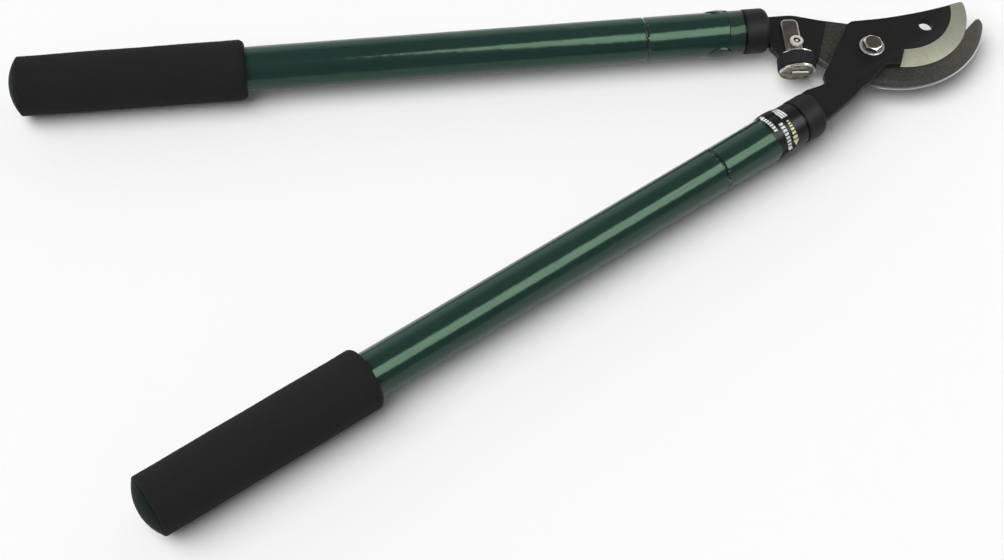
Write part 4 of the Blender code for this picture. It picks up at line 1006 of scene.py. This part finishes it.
def bolt_thread(material):
    """The thread that shows under the nut: one ridge round the shank, run out at both ends."""
    turns = (THREAD_HIGH - THREAD_LOW) / THREAD_PITCH - 1
    count = round(turns * THREAD_STEPS)
    half = THREAD_FLANK * THREAD_PITCH
    verts = []
    for i in range(count + 1):
        share = i / count
        fade = min(1.0, THREAD_RUN_OUT * share, THREAD_RUN_OUT * (1 - share))
        crest = THREAD_ROOT + (THREAD_CREST - THREAD_ROOT) * fade
        middle = THREAD_LOW + THREAD_PITCH * (0.5 + turns * share)
        angle = math.tau * turns * share
        ridge = ((THREAD_ROOT, middle - half), (crest, middle), (THREAD_ROOT, middle + half))
        for radius, height in ridge:
            verts.append((radius * math.cos(angle), radius * math.sin(angle), height))
    faces = [(0, 1, 2), (3 * count + 2, 3 * count + 1, 3 * count)]
    for i in range(count):
        low = 3 * i
        for k in range(3):
            after = (k + 1) % 3
            faces.append((low + k, low + 3 + k, low + 3 + after, low + after))
    thread = add_mesh("bolt_thread", verts, faces, material)
    thread.data.set_sharp_from_angle(angle=math.radians(THREAD_SHARP_DEG))
    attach(thread, "hook_side")


def nylon_ring(material):
    """Ring of nylon in the nut's collar, round the thread."""
    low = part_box("pivot_nut")[0]
    place = Matrix.Translation((0, 0, low[2])) @ Matrix.Rotation(math.radians(-90), 4, "Y")
    ring = turned("nut_nylon_ring", NYLON_PROFILE, NYLON_SEGMENTS, place, material)
    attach(ring, "hook_side")


def smoother(name, marked_above=None):
    """Geometry nodes that weld a CAD piece's faces and shade them smooth, but not over real edges.

    Real edges above a height are marked for the bevel that follows, where a height is given.
    """
    tree = bpy.data.node_groups.new(name, "GeometryNodeTree")
    tree.interface.new_socket("Geometry", in_out="INPUT", socket_type="NodeSocketGeometry")
    tree.interface.new_socket("Geometry", in_out="OUTPUT", socket_type="NodeSocketGeometry")
    links = tree.links
    start = new_node(tree, "NodeGroupInput")
    weld = new_node(tree, "GeometryNodeMergeByDistance")
    weld.inputs["Distance"].default_value = WELD
    strip = new_node(tree, "GeometryNodeRemoveAttribute")
    strip.inputs["Name"].default_value = "custom_normal"
    faces = new_node(tree, "GeometryNodeSetShadeSmooth", domain="FACE")
    sharp = new_node(tree, "GeometryNodeSetShadeSmooth", domain="EDGE")
    sharp.inputs["Shade Smooth"].default_value = False
    angle = new_node(tree, "GeometryNodeInputMeshEdgeAngle")
    limit = new_node(tree, "ShaderNodeMath", operation="GREATER_THAN")
    limit.inputs[1].default_value = math.radians(SHARP_ANGLE_DEG)
    links.new(angle.outputs["Unsigned Angle"], limit.inputs[0])
    links.new(limit.outputs[0], sharp.inputs["Selection"])
    chain = [weld, strip, faces, sharp]
    if marked_above is not None:
        place = new_node(tree, "GeometryNodeInputPosition")
        height = new_node(tree, "ShaderNodeSeparateXYZ")
        above = new_node(tree, "ShaderNodeMath", operation="GREATER_THAN")
        above.inputs[1].default_value = marked_above
        both = new_node(tree, "ShaderNodeMath", operation="MULTIPLY")
        marks = new_node(tree, "GeometryNodeStoreNamedAttribute", data_type="FLOAT", domain="EDGE")
        marks.inputs["Name"].default_value = "bevel_weight_edge"
        links.new(place.outputs[0], height.inputs[0])
        links.new(height.outputs["Z"], above.inputs[0])
        links.new(above.outputs[0], both.inputs[0])
        links.new(limit.outputs[0], both.inputs[1])
        links.new(both.outputs[0], marks.inputs["Value"])
        chain.append(marks)
    previous = start
    for node in (*chain, new_node(tree, "NodeGroupOutput")):
        links.new(previous.outputs["Geometry"], node.inputs["Geometry"])
        previous = node
    return tree


def smooth_nodes():
    """Smooth shading on every CAD piece, with the top edges of the bolt's head marked."""
    plain_tree = smoother("smooth_round_faces")
    head_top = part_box("pivot_bolt")[1][2]
    marking_tree = smoother("smooth_and_mark_top", head_top - HEAD_TOP_BAND)
    for name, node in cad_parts.items():
        tree = marking_tree if name == "pivot_bolt" else plain_tree
        node.modifiers.new("smooth_round_faces", "NODES").node_group = tree
        if name in BROKEN_EDGES:
            break_edges(name, BROKEN_EDGES[name])
        if not name.endswith("_blade"):
            node.modifiers.new("flat_faces", "WEIGHTED_NORMAL").keep_sharp = True


def break_edges(name, width):
    """Rounded edges on a sharp CAD piece, which catch the light between flat faces."""
    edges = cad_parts[name].modifiers.new("broken_edges", "BEVEL")
    edges.width = width
    edges.segments = BROKEN_SEGMENTS
    edges.limit_method = "WEIGHT" if name == "pivot_bolt" else "ANGLE"
    edges.angle_limit = math.radians(BROKEN_ANGLE_DEG)


def dress(materials):
    """Give each CAD node its material, by its name or by what follows the side in it."""
    for name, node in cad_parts.items():
        chosen = materials.get(name) or materials[name.split("_", 1)[1]]
        for slot in node.material_slots:
            slot.material = chosen


def softbox():
    """A lit panel over the lopper, which only gloss shows."""
    lamp = bpy.data.lights.new("softbox", "AREA")
    lamp.shape = "RECTANGLE"
    lamp.size, lamp.size_y = BOX_SIZE
    lamp.energy = BOX_RADIANCE * math.pi * BOX_SIZE[0] * BOX_SIZE[1]
    holder = added("softbox", lamp)
    holder.location = BOX_CENTRE
    holder.rotation_euler = (0, 0, math.radians(BOX_TURN_DEG))
    holder.visible_diffuse = False


def key_lamp():
    """The main light, wide and soft, which gloss doesn't show."""
    lamp = bpy.data.lights.new("key", "SUN")
    lamp.energy = KEY_STRENGTH
    lamp.angle = math.radians(KEY_ANGLE_DEG)
    holder = added("key", lamp)
    holder.location = KEY_FROM
    holder.rotation_euler = (-Vector(KEY_FROM)).to_track_quat("-Z", "Y").to_euler()
    holder.visible_glossy = False


def surroundings():
    """World light, as before a white backdrop: white near the horizon and dark above.

    The white reaches higher behind the lopper.
    """
    world = bpy.data.worlds.new("studio")
    world.use_nodes = True
    tree = world.node_tree
    links = tree.links
    where = new_node(tree, "ShaderNodeTexCoord")
    split = new_node(tree, "ShaderNodeSeparateXYZ")
    lean = new_node(tree, "ShaderNodeMath", operation="MULTIPLY_ADD")
    lean.inputs[1].default_value = HORIZON_LEAN
    fade = new_node(tree, "ShaderNodeMapRange", interpolation_type="SMOOTHSTEP")
    fade.inputs["From Min"].default_value = HORIZON_TOP
    fade.inputs["From Max"].default_value = CEILING_LOW
    fade.inputs["To Min"].default_value = HORIZON
    fade.inputs["To Max"].default_value = CEILING
    links.new(where.outputs["Generated"], split.inputs[0])
    links.new(split.outputs["Y"], lean.inputs[0])
    links.new(split.outputs["Z"], lean.inputs[2])
    links.new(lean.outputs[0], fade.inputs["Value"])
    background = tree.nodes["Background"]
    background.inputs["Color"].default_value = (1.0, 1.0, 1.0, 1.0)
    links.new(fade.outputs[0], background.inputs["Strength"])
    bpy.context.scene.world = world


def pale_floor():
    """The floor that the lopper lies on."""
    mesh = bpy.data.meshes.new("floor")
    shape = bmesh.new()
    squares = {"x_segments": FLOOR_SQUARES, "y_segments": FLOOR_SQUARES}
    bmesh.ops.create_grid(shape, size=FLOOR_HALF, **squares)
    shape.to_mesh(mesh)
    shape.free()
    graph = Graph("floor", gloss=0.0)
    graph.set("Base Color", (*FLOOR_WHITE, 1.0))
    graph.set("Roughness", FLOOR_ROUGHNESS)
    mesh.materials.append(graph.material)
    floor = added("floor", mesh)
    floor.location = (0, 0, FLOOR_Z)


def photo_camera():
    """The photograph's camera."""
    lens = bpy.data.cameras.new("camera")
    lens.lens = CAMERA_LENS
    lens.sensor_width = CAMERA_SENSOR
    camera = added("camera", lens)
    camera.location = CAMERA_PLACE
    camera.rotation_euler = CAMERA_TURN
    bpy.context.scene.camera = camera


def studio():
    """Pale floor, soft light and the camera."""
    bpy.context.scene.view_settings.view_transform = "Standard"
    pale_floor()
    surroundings()
    key_lamp()
    softbox()
    photo_camera()


def round_plates():
    """Nickel of the washer, the rivet and the bumper's cap, darker in rings about their own axes.
    """
    up = Vector((0, 0, 1))
    rubber_middle = middle("bumper_rubber")
    bumper_axis = (rubber_middle, (rubber_middle - middle("bumper_cup")).normalized())
    rivet_axis = (middle("bumper_rivet"), up)
    bolt_axis = (PIVOT, up)
    washer_metals = (WASHER_INNER_DARK, WASHER_NICKEL)
    washer = ringed_plate("washer_nickel", bolt_axis, WASHER_RING, 0.55, *washer_metals)
    # The rivet's dark ring is painted shade in its recess
    rivet = ringed_plate("rivet_nickel", rivet_axis, RIVET_RING, 0.3, RIVET_RECESS_SHADE)
    cap_z = middle("bumper_cap").z
    cap = ringed_plate("cap_nickel", bumper_axis, CAP_RING, 0.8, CAP_DARKER, darker_below=cap_z)
    return {"pivot_washer": washer, "bumper_rivet": rivet, "bumper_cap": cap}


def main():
    plate = black_plastic()
    plug_green = green_plastic()
    zinc = plated_steel()
    white = acetal()
    grip_foam = foam()
    dress(
        {
            "upper_outer_tube": paint(UPPER),
            "lower_outer_tube": paint(LOWER),
            "foam_grip": grip_foam,
            "upper_guide_bush": glossy_bush(UPPER),
            "lower_guide_bush": glossy_bush(LOWER),
            "head_collar": plate,
            "end_plug": plug_green,
            "inner_tube": zinc,
            "tang_pin": zinc,
            "lock_plug": white,
            "lock_expander": white,
            "lock_cone": plate,
            "hook_blade": hook_steel(),
            "cutting_blade": cutting_blade(),
            "pivot_bolt": bolt_nickel(),
            "pivot_lock_washer": zinc,
            "pivot_nut": zinc,
            "bumper_bracket": strip_nickel(),
            "bumper_cup": cup_nickel(),
            "bumper_stud": key_nickel(),
            "bumper_rubber": rubber(),
            **round_plates(),
        }
    )
    smooth_nodes()
    foam_grip(UPPER, grip_foam)
    foam_grip(LOWER, grip_foam)
    end_plug(UPPER, plug_green)
    end_plug(LOWER, plug_green)
    printed_film()
    bolt_thread(zinc)
    nylon_ring(white)
    studio()


main()
